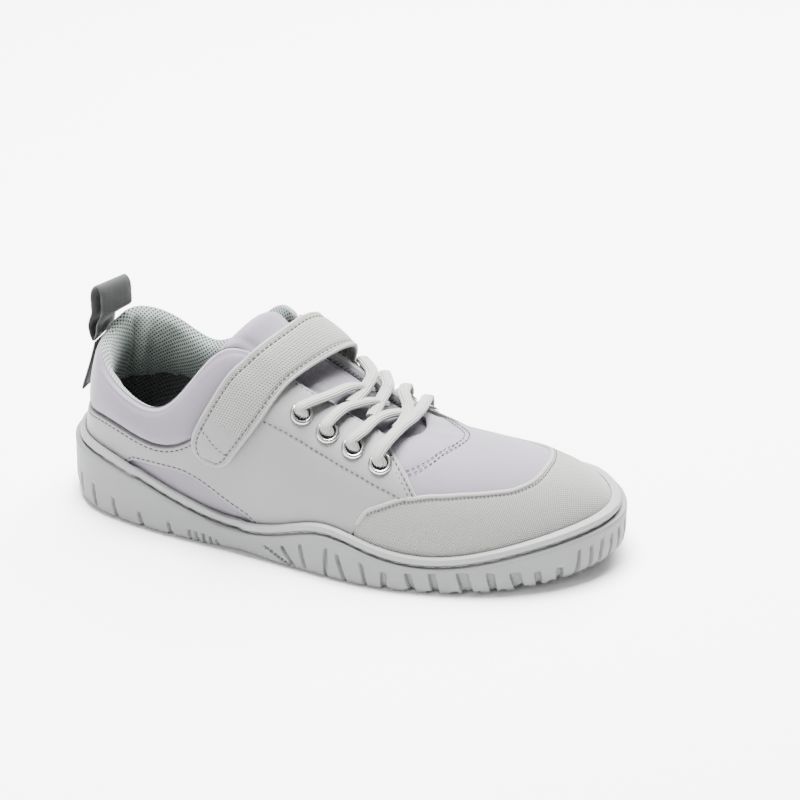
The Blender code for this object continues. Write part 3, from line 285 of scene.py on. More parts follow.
    def point(self, row: Array, share: Array) -> Array:
        """A point of the last on the curve from the sole's edge to the top line.

        Args:
            row: Rows, whole or between two.
            share: Shares of the rows' curves.

        Returns:
            Points in millimetres.
        """
        row, share = np.broadcast_arrays(np.asarray(row, float), np.asarray(share, float))
        values = self.values(row)
        foot, out = self.outline(row, self.feather_inset)
        floor = self.ground(foot[..., 0]) + self.sole_thickness + self.clearance
        low = np.concatenate([foot, floor[..., None]], -1)
        top = values[..., 2:5]
        away = (low - top)[..., :2]
        fan = unit(away + self.fan_length * out)
        chord = np.linalg.norm(top - low, axis=-1)
        lean, slope = np.radians(values[..., 6]), np.radians(values[..., 8])
        rise = np.concatenate([out * np.sin(lean)[..., None], np.cos(lean)[..., None]], -1)
        fall = np.concatenate([fan * np.cos(slope)[..., None], -np.sin(slope)[..., None]], -1)
        wall = low + rise * (chord * values[..., 7])[..., None]
        crown = top + fall * (chord * values[..., 9])[..., None]
        t = share[..., None]
        return (1 - t) ** 3 * low + 3 * (1 - t) ** 2 * t * wall + 3 * (1 - t) * t**2 * crown + t**3 * top

    def normal(self, row: Array, share: Array) -> Array:
        """Outward direction of the last.

        Args:
            row: Rows, whole or between two.
            share: Shares of the rows' curves.

        Returns:
            Directions of length one.
        """
        step = 0.01
        share = np.clip(share, step, 1 - step)
        across = self.point(np.asarray(row) + step, share) - self.point(np.asarray(row) - step, share)
        up = self.point(row, share + step) - self.point(row, share - step)
        return unit(np.cross(across, up))

    def share_at(self, row: Array, height: Array, highest: float = 0.85) -> Array:
        """The share, up to a highest one, at which a row's curve reaches a height.

        Args:
            row: Rows, whole or between two.
            height: Heights to reach.
            highest: The highest share to look at.

        Returns:
            The share for each row.
        """
        low, high = np.zeros(np.shape(row)), np.full(np.shape(row), highest)
        for _ in range(24):
            middle = (low + high) / 2
            below = self.point(row, middle)[..., 2] < height
            low, high = np.where(below, middle, low), np.where(below, high, middle)
        return (low + high) / 2

    def roll(self, row: Array, share: Array) -> Array:
        """The padded roll of the collar, 0 at its seam and top line, 1 half way.

        Args:
            row: Rows, whole or between two.
            share: Shares of the rows' curves.

        Returns:
            The roll as a share of its full swell.
        """
        values = self.values(row)
        room = values[..., 4] - values[..., 5]
        across = np.clip((self.point(row, share)[..., 2] - values[..., 5]) / np.maximum(room, 0.001), 0, 1)
        across = np.where(room > 0, across, 0)
        return np.clip(room / self.full_collar, 0, 1) * np.sqrt(np.clip(4 * across * (1 - across), 0, 1))

    def skin(self, row: Array, share: Array, offset: Array | float = 0.0) -> Array:
        """A point on the upper's outer face, moved out by an offset."""
        swell = self.collar_swell * self.roll(row, share) + offset
        return self.point(row, share) + self.normal(row, share) * swell[..., None]

    def lining(self, row: Array, share: Array, offset: Array | float = 0.0) -> Array:
        """A point on the upper's inner face, moved inwards by an offset."""
        depth = self.wall + self.collar_pad * self.roll(row, share) + offset
        return self.point(row, share) - self.normal(row, share) * depth[..., None]

    def seam_share(self, row: Array) -> Array:
        """The share of the collar seam, or a place near the top line where there is no collar."""
        values = self.values(row)
        return self.share_at(row, np.minimum(values[..., 5], values[..., 4] - 0.2), 0.9)

    def per_share(self, row: Array, share: Array) -> Array:
        """Millimetres of a row's curve to a whole share, at its rate near a place."""
        return np.linalg.norm(self.point(row, np.minimum(share + 0.01, 1)) - self.point(row, share), axis=-1) * 100

    def rim_share(self, row: Array, drop: float | Array) -> Array:
        """Share of a row's curve a drop below the rim's top."""
        return self.share_at(row, self.values(row)[..., 10] - drop)

    def in_frame(self, points: Array) -> Array:
        """Millimetres from the heel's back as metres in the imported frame."""
        return (np.asarray(points, float) + np.array(self.heel_to_frame)) * 0.001


LAST = Last()


def facing(row: Array) -> Array:
    """The row on the outer side that faces a row."""
    row = np.mod(row, ROWS)
    return np.where(row > TOE_ROW, ROWS - row, row)


# Meshes


def grid_corners(rows: int, columns: int) -> Array:
    """Row and column of the four corners of every quad in a grid."""
    i, j = (grid.reshape(-1) for grid in np.meshgrid(np.arange(rows), np.arange(columns), indexing="ij"))
    return np.stack([np.stack([i + a, j + b], -1) for a, b in ((0, 0), (1, 0), (1, 1), (0, 1))], 1)


@dataclass
class Cloth:
    """A grid of points in millimetres that becomes one smooth mesh with its arc lengths as UVs.

    keep leaves quads out, slots gives each its material, and even_column spaces every line as that column's.
    """

    name: str
    points: Array
    closed_rows: bool = False
    closed_columns: bool = False
    centre: Optional[Sequence[float]] = None
    keep: Optional[Array] = None
    slots: Optional[Array] = None
    sharp_angle: float = 50.0
    start_row: int = 0
    start_column: int = 0
    even_column: Optional[int] = None

    def build(self, *finishes: Material) -> Piece:
        """Makes the mesh object.

        Args:
            *finishes: Materials, the first for every face that slots doesn't give another.

        Returns:
            The new object, linked to the scene.
        """
        points = np.asarray(self.points, float)
        rows, columns = points.shape[:2]
        corners = grid_corners(rows - 1 + self.closed_rows, columns - 1 + self.closed_columns)
        quads = (corners[..., 0] % rows) * columns + corners[..., 1] % columns
        uv = self.arc_lengths(points)[corners[..., 0], corners[..., 1]]
        slots = np.zeros(len(quads), int) if self.slots is None else self.slots.reshape(-1)
        if self.keep is not None:
            kept = self.keep.reshape(-1)
            quads, uv, slots = quads[kept], uv[kept], slots[kept]
        flat = points.reshape(-1, 3)
        centre = flat.mean(axis=0) if self.centre is None else np.asarray(self.centre, float)
        face = flat[quads]
        spread = np.cross(face[:, 2] - face[:, 0], face[:, 3] - face[:, 1])
        if np.einsum("ij,ij->", spread, face.mean(axis=1) - centre) < 0:
            quads, uv = quads[:, ::-1], uv[:, ::-1]
        return mesh_object(self.name, flat, quads, uv, slots, finishes, self.sharp_angle)

    def arc_lengths(self, points: Array) -> Array:
        """Distances along the rows and the columns from the start row and column.

        Args:
            points: The grid.

        Returns:
            Both distances at each point.
        """
        wide = np.concatenate([points, points[:1]], axis=0)
        wide = np.concatenate([wide, wide[:, :1]], axis=1)
        u, v = lengths(wide), lengths(wide, 1)
        if self.even_column is not None:
            u = np.broadcast_to(u[:, self.even_column, None], u.shape)
        return np.stack([u - u[self.start_row], v - v[:, self.start_column, None]], -1)


def mesh_object(
    name: str,
    points: Array,
    quads: Array,
    uv: Array,
    slots: Array,
    finishes: Sequence[Material],
    sharp_angle: float,
) -> Piece:
    """Makes a smooth mesh object from quads in millimetres.

    Args:
        name: The object's name.
        points: Points in millimetres from the heel's back.
        quads: Point numbers, four a face.
        uv: Arc lengths in millimetres, two a corner.
        slots: Material slot of each face.
        finishes: The materials.
        sharp_angle: Edges that turn more than this many degrees stay sharp.

    Returns:
        The object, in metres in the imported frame.
    """
    used = np.unique(quads)
    index = np.zeros(len(points), int)
    index[used] = np.arange(len(used))
    mesh = bpy.data.meshes.new(name)
    mesh.vertices.add(len(used))
    mesh.vertices.foreach_set("co", LAST.in_frame(points[used]).astype(np.float32).reshape(-1))
    mesh.loops.add(quads.size)
    mesh.loops.foreach_set("vertex_index", index[quads].astype(np.int32).reshape(-1))
    mesh.polygons.add(len(quads))
    mesh.polygons.foreach_set("loop_start", np.arange(0, quads.size, 4, dtype=np.int32))
    mesh.polygons.foreach_set("material_index", slots.astype(np.int32))
    layer = mesh.uv_layers.new(name="arc")
    layer.data.foreach_set("uv", uv.astype(np.float32).reshape(-1))
    mesh.update(calc_edges=True)
    mesh.validate(clean_customdata=False)
    mesh.shade_smooth()
    mesh.set_sharp_from_angle(angle=math.radians(sharp_angle))
    for finish in finishes:
        mesh.materials.append(finish)
    made = bpy.data.objects.new(name, mesh)
    bpy.context.scene.collection.objects.link(made)
    return made


def lay_flat(made: Piece) -> None:
    """Lays a panel's weave flat with little stretch, in millimetres of cloth.

    Args:
        made: The panel.
    """
    bpy.context.view_layer.objects.active = made
    made.select_set(True)
    bpy.ops.object.mode_set(mode="EDIT")
    bpy.ops.mesh.select_all(action="SELECT")
    bpy.ops.uv.unwrap(method="MINIMUM_STRETCH", iterations=12, margin=0.0)
    bpy.ops.object.mode_set(mode="OBJECT")
    made.select_set(False)
    mesh = made.data
    layer = mesh.uv_layers["arc"].data
    flat = np.empty(len(mesh.loops) * 2, np.float32)
    layer.foreach_get("uv", flat)
    flat = flat.reshape(-1, 4, 2)
    area = np.empty(len(mesh.polygons), np.float32)
    mesh.polygons.foreach_get("area", area)
    sides = flat[:, 2] - flat[:, 0], flat[:, 3] - flat[:, 1]
    covered = np.abs(sides[0][:, 0] * sides[1][:, 1] - sides[0][:, 1] * sides[1][:, 0]).sum() / 2
    flat *= 1000 * math.sqrt(float(area.sum()) / float(covered))
    layer.foreach_set("uv", flat.reshape(-1))


@dataclass
class Overlay:
    """A panel of sheet material that lies on the last between two edges, with rounded edges all round."""

    name: str
    rows: Array
    low: Array
    high: Array
    height: float
    edge: float = 0.9
    buried: float = 0.5
    middle_columns: int = 26

    def places(self) -> tuple[Array, Array]:
        """Rows and shares of the grid, finer near the edges.

        Returns:
            Rows and shares of each grid point.
        """
        length = np.linalg.norm(LAST.point(self.rows, self.high) - LAST.point(self.rows, self.low), axis=-1)
        rim = np.array([0.0, 0.08, 0.22, 0.45, 0.8, 1.3, 2.0, 2.8])
        near = np.minimum(rim[None, :] / length[:, None], 0.5 * rim / rim[-1])
        start, end = near[:, -1:], 1 - near[:, -1:]
        inner = start + (end - start) * np.linspace(0, 1, self.middle_columns)[None, 1:-1]
        across = np.concatenate([near, inner, 1 - near[:, ::-1]], axis=1)
        share = self.low[:, None] + (self.high - self.low)[:, None] * across
        return np.broadcast_to(self.rows[:, None], share.shape), share

    def distances(self, points: Array) -> Array:
        """Distances of each grid point from the low, high, first and last edges."""
        up, along = lengths(points, 1), lengths(points)
        return np.stack([up, up[:, -1:] - up, along, along[-1:] - along], -1)

    def build(
        self,
        finish: Material,
        relief: Optional[Callable[[Array, Array, Array], Array]] = None,
        openings: Sequence[tuple[Array, float]] = (),
        start_row: int = 0,
    ) -> Piece:
        """Makes the panel.

        Args:
            finish: Its material.
            relief: Extra height from rows, shares and the distances from the four edges.
            openings: Centres and radii of round openings to leave out.
            start_row: Row at which the weave starts.

        Returns:
            The panel's object.
        """
        row, share = self.places()
        far = self.distances(LAST.skin(row, share))
        rise = rounded(far[..., 0], self.edge) * rounded(far[..., 1], self.edge)
        rise = rise * rounded(far[..., 2], self.edge) * rounded(far[..., 3], self.edge)
        height = -self.buried + (self.height + self.buried) * rise
        if relief is not None:
            height = height + relief(row, share, far)
        points = LAST.skin(row, share, height)
        cloth = Cloth(self.name, points, centre=(130.0, 0.0, 20.0), start_row=start_row)
        cloth.keep = open_at(points, openings)
        return cloth.build(finish)


def open_at(points: Array, openings: Sequence[tuple[Array, float]]) -> Array:
    """Which quads of a grid stay where round openings are left out.

    Args:
        points: The grid.
        openings: Centres and radii.

    Returns:
        True for each quad that stays.
    """
    middle = (points[:-1, :-1] + points[1:, :-1] + points[1:, 1:] + points[:-1, 1:]) / 4
    keep = np.ones(middle.shape[:2], bool)
    for centre, radius in openings:
        keep &= np.linalg.norm(middle - centre, axis=-1) > radius
    return keep


@dataclass(frozen=True)
class Stitching:
    """A row of sewn stitches, each a small bead of thread with its ends drawn in."""

    pitch: float = 2.7
    length: float = 1.8
    thickness: float = 0.62
    sides: int = 6
    # Along the stitch as shares of its length, girth and lift as shares of half its thickness
    profile: Table = (
        (-0.5, 0.05, -0.5), (-0.42, 0.75, 0.0), (-0.2, 1.0, 0.35),
        (0.2, 1.0, 0.35), (0.42, 0.75, 0.0), (0.5, 0.05, -0.5),
    )

    def build(self, name: str, lines: Sequence[tuple[Array, Array]], finish: Material) -> Piece:
        """Makes every stitch of the given lines as one mesh.

        Args:
            name: The object's name.
            lines: Points and outward directions of each sewing line.
            finish: The thread's material.

        Returns:
            The joined stitches.
        """
        rings, girth, lift = np.array(self.profile).T[:, :, None, None]
        turn = turns(self.sides)[:, None]
        half = self.thickness / 2
        beads = []
        for line, outward in lines:
            reach = lengths(line)
            for place in np.arange(self.pitch / 2, reach[-1] - self.pitch / 3, self.pitch):
                along = unit(at_lengths(place + 0.3, reach, line) - at_lengths(place - 0.3, reach, line))
                side = unit(np.cross(unit(at_lengths(place, reach, outward)), along))
                out = np.cross(along, side)
                ring = side * np.cos(turn) + out * 0.8 * np.sin(turn)
                bead = at_lengths(place, reach, line) + along * rings * self.length
                beads.append(bead + out * lift * half + ring * girth * half)
        corners = grid_corners(len(self.profile) - 1, self.sides)[:, [0, 3, 2, 1]]
        bead_quads = corners[..., 0] * self.sides + corners[..., 1] % self.sides
        first = np.arange(len(beads))[:, None, None] * len(self.profile) * self.sides
        quads = (first + bead_quads).reshape(-1, 4)
        uv = np.tile(corners, (len(beads), 1, 1)).astype(float)
        flat = np.array(beads).reshape(-1, 3)
        return mesh_object(name, flat, quads, uv, np.zeros(len(quads), int), [finish], 80.0)


def sewing_line(
    row: Array, share: Array | float, height: float, up: float = 0.0, step: float = 0.02
) -> tuple[Array, Array]:
    """A sewing line on the last.

    Args:
        row: Rows of its points.
        share: Shares of its points.
        height: Its height over the upper's face.
        up: How far it is moved up the rows' curves.
        step: Share over which up is measured, negative to measure below the points.

    Returns:
        Its points and their outward directions.
    """
    rise = unit(LAST.point(row, share + step) - LAST.point(row, share)) * np.sign(step)
    return LAST.skin(row, share, height) + rise * up, LAST.normal(row, share)


def other_side(row: Array | float, sign: int) -> Array | float:
    """A row of the outer side, or the row that faces it where the sign is negative."""
    return row if sign > 0 else ROWS - row


def cord_frames(path: Array, reference: Array) -> tuple[Array, Array]:
    """Width and outward directions along a path, carried from its middle to both ends.

    Args:
        path: Points of the path.
        reference: Rough outward direction at its middle.

    Returns:
        Directions across the path and out of it at each point.
    """
    along = unit(np.gradient(path, axis=0))
    middle = len(path) // 2
    out = np.zeros_like(path)
    out[middle] = unit(reference - along[middle] * (reference @ along[middle]))
    for index in range(middle + 1, len(path)):
        kept = out[index - 1] - along[index] * (out[index - 1] @ along[index])
        out[index] = unit(kept)
    for index in range(middle - 1, -1, -1):
        kept = out[index + 1] - along[index] * (out[index + 1] @ along[index])
        out[index] = unit(kept)
    return np.cross(along, out), out


# Finishes


class Place(Enum):
    """Where a finish takes its pattern from."""

    ARC = "UV"
    SOLID = "Object"


class Graph:
    """A material's nodes, with short methods for the few kinds that the finishes use."""

    def __init__(self, name: str, base: Colour, roughness: float, metallic: float = 0.0) -> None:
        """Starts a material with one Principled shader.

        Args:
            name: The material's name.
            base: The colour that shade() varies.
            roughness: Roughness until a pattern is plugged in.
            metallic: 1 for a metal.
        """
        self.base = base
        self.material = bpy.data.materials.new(name)
        self.material.use_nodes = True
        self.tree = self.material.node_tree
        self.shader = self.tree.nodes["Principled BSDF"]
        self.shader.inputs["Roughness"].default_value = roughness
        self.shader.inputs["Metallic"].default_value = metallic

    def node(self, kind: str, output: int | str, inputs: dict[int | str, object], **settings: object) -> Socket:
        """Adds a node.

        Args:
            kind: Its type, after the ShaderNode that all of them start with.
            output: Which output to return.
            inputs: What each input holds: a socket, a number or a colour.
            **settings: Its other settings.

        Returns:
            The chosen output.
        """
        made = self.tree.nodes.new("ShaderNode" + kind)
        for key, value in settings.items():
            setattr(made, key, value)
        for key, value in inputs.items():
            self.plug(made.inputs[key], value)
        return made.outputs[output]

    def plug(self, socket: Socket, value: object) -> None:
        """Links a socket to another, or sets its number or colour.

        Args:
            socket: The input.
            value: What goes into it.
        """
        if isinstance(value, Socket):
            self.tree.links.new(value, socket)
        elif isinstance(value, tuple) and len(socket.default_value) == 4:
            socket.default_value = (*value, 1.0)
        else:
            socket.default_value = value

    def place(self, source: Place, scale: float | tuple[float, float, float]) -> Socket:
        """Coordinates in millimetres times a scale.

        Args:
            source: Where they come from.
            scale: One scale, or one for each axis.

        Returns:
            The scaled coordinates.
        """
        spread = 1.0 if source is Place.ARC else 1000.0
        each = scale if isinstance(scale, tuple) else (scale, scale, scale)
        inputs = {0: self.node("TexCoord", source.value, {}), 1: tuple(value * spread for value in each)}
        return self.node("VectorMath", 0, inputs, operation="MULTIPLY")

    def arc(self, scale: float) -> list[Socket]:
        """The two arc lengths of the cloth in millimetres times a scale."""
        parts = self.node("SeparateXYZ", 0, {0: self.place(Place.ARC, scale)}).node
        return list(parts.outputs)[:2]

    def math(self, operation: str, a: object, b: object = 0.0, c: object = 0.0) -> Socket:
        """A sum, product or other operation on numbers."""
        return self.node("Math", 0, {0: a, 1: b, 2: c}, operation=operation)

    def times(self, a: object, b: object) -> Socket:
        """A product of two numbers."""
        return self.math("MULTIPLY", a, b)

    def wave(self, value: object) -> Socket:
        """A wave from 0 to 1 that repeats once for each whole number."""
        return self.math("MULTIPLY_ADD", self.math("SINE", self.times(value, 2 * math.pi)), 0.5, 0.5)

    def noise(self, scale: float | tuple[float, float, float], detail: float = 3.0, rough: float = 0.55) -> Socket:
        """Smooth noise from 0 to 1 in the solid, a millimetre in size at scale 1."""
        inputs = {"Vector": self.place(Place.SOLID, scale), "Scale": 1.0, "Detail": detail, "Roughness": rough}
        return self.node("TexNoise", 0, inputs)

    def cells(self, scale: float) -> Socket:
        """Distance to the nearest of points scattered in the solid."""
        return self.node("TexVoronoi", "Distance", {"Vector": self.place(Place.SOLID, scale), "Scale": 1.0})

    def between(self, factor: object, low: float, high: float) -> Socket:
        """A number moved from 0..1 to a range."""
        return self.node("MapRange", 0, {"Value": factor, "To Min": low, "To Max": high})

    def step(self, value: object, low: float, high: float) -> Socket:
        """A soft step from 0 to 1 between two numbers."""
        inputs = {"Value": value, "From Min": low, "From Max": high}
        return self.node("MapRange", 0, inputs, interpolation_type="SMOOTHSTEP")

    def blend(self, factor: object, a: object, b: object) -> Socket:
        """A mix of two colours."""
        return self.node("Mix", 2, {0: factor, 6: a, 7: b}, data_type="RGBA")

    def shade(self, factor: float) -> Colour:
        """The finish's colour made lighter or darker."""
        return (self.base[0] * factor, self.base[1] * factor, self.base[2] * factor)

    def colour(self, value: object) -> None:
        """Sets the shader's colour."""
        self.plug(self.shader.inputs["Base Color"], value)

    def roughness(self, value: object) -> None:
        """Sets the shader's roughness."""
        self.plug(self.shader.inputs["Roughness"], value)

    def bump(self, height: object, depth_mm: float, strength: float = 1.0) -> None:
        """Adds relief under any earlier relief.

        Args:
            height: The pattern, from 0 to 1.
            depth_mm: Its depth in millimetres.
            strength: Its strength.
        """
        inputs = {"Height": height, "Distance": depth_mm * 0.001, "Strength": strength}
        normal = self.shader.inputs["Normal"]
        if normal.is_linked:
            inputs["Normal"] = normal.links[0].from_socket
        self.plug(normal, self.node("Bump", 0, inputs))

    def sheen(self, weight: float, roughness: float) -> None:
        """Gives a cloth its soft edge light."""
        self.shader.inputs["Sheen Weight"].default_value = weight
        self.shader.inputs["Sheen Roughness"].default_value = roughness


@dataclass(frozen=True)
class Softshell:
    """Soft brushed jersey of the vamp, collar and tongue."""

    name: str = "softshell"
    colour: Colour = (0.157, 0.142, 0.170)
    loop_mm: float = 0.85

    def make(self) -> Material:
        """Fine knit rows under a brushed face.

        Returns:
            The finished material.
        """
        graph = Graph(self.name, self.colour, 0.85)
        u, v = graph.arc(1 / self.loop_mm)
        knit = graph.times(graph.wave(u), graph.wave(graph.math("ADD", v, graph.times(u, 0.5))))
        nap = graph.noise(2.4, 4.0, 0.7)
        cloud = graph.noise(0.06, 3.0)
        tone = graph.blend(graph.between(cloud, 0.2, 0.8), graph.shade(0.93), graph.shade(1.07))
        speck = graph.blend(graph.times(graph.step(nap, 0.35, 0.75), 0.35), tone, graph.shade(1.35))
        graph.colour(graph.blend(graph.times(knit, 0.22), speck, graph.shade(0.72)))
        graph.roughness(graph.between(nap, 0.75, 0.95))
        graph.bump(knit, 0.10, 0.6)
        graph.bump(nap, 0.12, 0.5)
        graph.sheen(0.25, 0.5)
        return graph.material


@dataclass(frozen=True)
class Microfibre:
    """Smooth matt synthetic leather of the quarter."""

    name: str = "microfibre"
    colour: Colour = (0.164, 0.164, 0.167)

    def make(self) -> Material:
        """A close grain with slight wear and gloss changes.

        Returns:
            The finished material.
        """
        graph = Graph(self.name, self.colour, 0.55)
        grain = graph.cells(2.6)
        cloud = graph.noise(0.05, 4.0)
        fine = graph.noise(1.1, 5.0, 0.6)
        tone = graph.blend(cloud, graph.shade(0.95), graph.shade(1.06))
        graph.colour(graph.blend(graph.times(graph.step(fine, 0.5, 0.8), 0.25), tone, graph.shade(1.15)))
        graph.roughness(graph.between(fine, 0.46, 0.62))
        graph.bump(grain, 0.05, 0.5)
        graph.bump(fine, 0.08, 0.35)
        return graph.material


@dataclass(frozen=True)
class Woven:
    """Woven textile: two yarns crossing on the diagonal, or in a dotted basket."""

    name: str = "woven"
    colour: Colour = (0.216, 0.216, 0.204)
    yarn_mm: float = 1.3
    dotted: bool = False

    def make(self) -> Material:
        """Yarns with their gaps darker as painted shade, and a little fuzz.

        Returns:
            The finished material.
        """
        graph = Graph(self.name, self.colour, 0.88)
        u, v = graph.arc(1 / self.yarn_mm)
        if self.dotted:
            height = graph.math("SUBTRACT", 1.0, graph.times(graph.wave(u), graph.wave(v)))
        else:
            one, two = graph.wave(graph.math("ADD", u, v)), graph.wave(graph.math("SUBTRACT", u, v))
            height = graph.math("MAXIMUM", graph.times(one, 0.8), graph.times(two, 0.65))
        fuzz = graph.noise(3.0, 3.0, 0.65)
        gap = graph.step(height, 0.25, 0.75) if self.dotted else graph.step(height, 0.12, 0.6)
        yarn = graph.blend(fuzz, graph.shade(0.92), graph.shade(1.16))
        # The gaps' dark colour paints the shade between the yarns.
        graph.colour(graph.blend(gap, graph.shade(0.28), yarn))
        graph.roughness(graph.between(fuzz, 0.8, 0.96))
        graph.bump(height, 0.22 if self.dotted else 0.16, 0.8)
        graph.bump(fuzz, 0.06, 0.5)
        graph.sheen(0.15, 0.5)
        return graph.material


@dataclass(frozen=True)
class Piping:
    """Rolled edge of the woven pieces."""

    name: str = "piping"
    colour: Colour = (0.230, 0.230, 0.217)

    def make(self) -> Material:
        """Plain tape with fine cross threads.

        Returns:
            The finished material.
        """
        graph = Graph(self.name, self.colour, 0.8)
        u, v = graph.arc(2.2)
        thread = graph.wave(graph.math("ADD", u, graph.times(v, 0.3)))
        fuzz = graph.noise(2.2, 3.0)
        graph.colour(graph.blend(graph.times(thread, 0.3), graph.shade(1.05), graph.shade(0.82)))
        graph.roughness(graph.between(fuzz, 0.72, 0.9))
        graph.bump(thread, 0.08, 0.5)
        return graph.material


@dataclass(frozen=True)
class Rubber:
    """Moulded matt rubber of the sole."""

    name: str = "rubber"
    # Its own dark grey, made darker still as painted shade on the side wall near the ground.
    colour: Colour = (0.138, 0.141, 0.141)

    def make(self) -> Material:
        """A finely blasted mould face, slightly scuffed.

        Returns:
            The finished material.
        """
        graph = Graph(self.name, self.colour, 0.6)
        blasted = graph.noise(3.2, 4.0, 0.7)
        cloud = graph.noise(0.045, 4.0)
        scuff = graph.noise((0.25, 0.25, 1.4), 5.0, 0.7)
        tone = graph.blend(cloud, graph.shade(0.95), graph.shade(1.06))
        graph.colour(graph.blend(graph.times(graph.step(scuff, 0.58, 0.8), 0.3), tone, graph.shade(0.84)))
        graph.roughness(graph.between(blasted, 0.52, 0.72))
        graph.bump(blasted, 0.06, 0.5)
        return graph.material


@dataclass(frozen=True)
class Mesh:
    """Spacer mesh with open holes, for the lining and the footbed."""

    name: str = "lining_mesh"
    colour: Colour = (0.230, 0.270, 0.248)
    # Near-black colour of the holes: painted shade inside them.
    hole: Colour = (0.010, 0.014, 0.012)
    pitch_mm: float = 2.1

    def make(self) -> Material:
        """Offset rows of round holes in a soft knit, the holes near-black as painted shade.

        Returns:
            The finished material.
        """
        graph = Graph(self.name, self.colour, 0.9)
        u, v = graph.arc(1 / self.pitch_mm)
        grid = graph.times(graph.wave(graph.math("ADD", u, v)), graph.wave(graph.math("SUBTRACT", u, v)))
        hole = graph.step(grid, 0.24, 0.42)
        fuzz = graph.noise(2.5, 3.0)
        knit = graph.blend(fuzz, graph.shade(0.9), graph.shade(1.1))
        graph.colour(graph.blend(hole, knit, self.hole))
        graph.roughness(graph.between(fuzz, 0.82, 0.97))
        graph.bump(graph.math("SUBTRACT", 1.0, hole), 0.5, 0.8)
        graph.sheen(0.2, 0.5)
        return graph.material


@dataclass(frozen=True)
class Braid:
    """Flat elastic lace with lengthwise ribs."""

    name: str = "lace_braid"
    colour: Colour = (0.324, 0.329, 0.315)
    rib_mm: float = 0.75

    def make(self) -> Material:
        """Ribs along the lace with short cross stitches between them.

        Returns:
            The finished material.
        """
        graph = Graph(self.name, self.colour, 0.8)
        u, v = graph.arc(1.0)
        rib = graph.wave(graph.times(v, 1 / self.rib_mm))
        pick = graph.wave(graph.math("ADD", graph.times(u, 0.8), graph.times(rib, 0.5)))
        fuzz = graph.noise(3.0, 3.0)
        height = graph.math("MULTIPLY_ADD", rib, 0.75, graph.times(pick, 0.25))
        yarn = graph.blend(fuzz, graph.shade(0.93), graph.shade(1.08))
        # Low places between the ribs take a darker colour: painted shade.
        graph.colour(graph.blend(graph.step(height, 0.1, 0.7), graph.shade(0.5), yarn))
        graph.roughness(graph.between(fuzz, 0.7, 0.88))
        graph.bump(height, 0.25, 0.8)
        graph.sheen(0.15, 0.5)
        return graph.material


@dataclass(frozen=True)
class Tape:
    """Dark woven tape of the heel loop and tab."""

    name: str = "heel_tape"
    colour: Colour = (0.020, 0.021, 0.021)

    def make(self) -> Material:
        """Herringbone columns along the tape.

        Returns:
            The finished material.
        """
        graph = Graph(self.name, self.colour, 0.7)
        u, v = graph.arc(1.0)
        column = graph.math("PINGPONG", v, 1.6)
        slant = graph.wave(graph.math("MULTIPLY_ADD", u, 0.9, graph.times(column, 0.9)))
        fuzz = graph.noise(3.0, 3.0)
        graph.colour(graph.blend(slant, graph.shade(0.85), graph.shade(1.15)))
        graph.roughness(graph.between(fuzz, 0.6, 0.82))
        graph.bump(slant, 0.08, 0.6)
        graph.sheen(0.2, 0.4)
        return graph.material


@dataclass(frozen=True)
class Thread:
    """Twisted sewing thread."""

    name: str
    colour: Colour

    def make(self) -> Material:
        """A slanted twist along each stitch.

        Returns:
            The finished material.
        """
        graph = Graph(self.name, self.colour, 0.6)
        u, v = graph.arc(1.0)
        twist = graph.wave(graph.math("ADD", graph.times(u, 0.8), graph.times(v, 0.35)))
        graph.colour(graph.blend(twist, graph.shade(0.75), graph.shade(1.1)))
        graph.roughness(graph.between(twist, 0.5, 0.7))
        graph.bump(twist, 0.05, 0.5)
        return graph.material


@dataclass(frozen=True)
class Nickel:
    """Polished silver of the eyelets."""

    name: str = "eyelet_nickel"
    colour: Colour = (0.50, 0.495, 0.485)

    def make(self) -> Material:
        """Polished metal with fine handling marks.

        Returns:
            The finished material.
        """
        graph = Graph(self.name, self.colour, 0.2, 1.0)
        marks = graph.noise((2.0, 0.5, 2.0), 5.0, 0.7)
        graph.colour(graph.blend(marks, graph.shade(0.88), self.colour))
        graph.roughness(graph.between(marks, 0.14, 0.34))
        graph.bump(marks, 0.01, 0.4)
        return graph.material


@dataclass(frozen=True)
class Backdrop:
    """Pale paper floor."""

    name: str = "studio_floor"
    colour: Colour = (0.96, 0.96, 0.96)

    def make(self) -> Material:
        """Even matt paper.

        Returns:
            The finished material.
        """
        graph = Graph(self.name, self.colour, 0.9)
        tone = graph.noise(0.004, 2.0)
        graph.colour(graph.blend(tone, graph.shade(0.995), graph.shade(1.005)))
        return graph.material


# Pieces


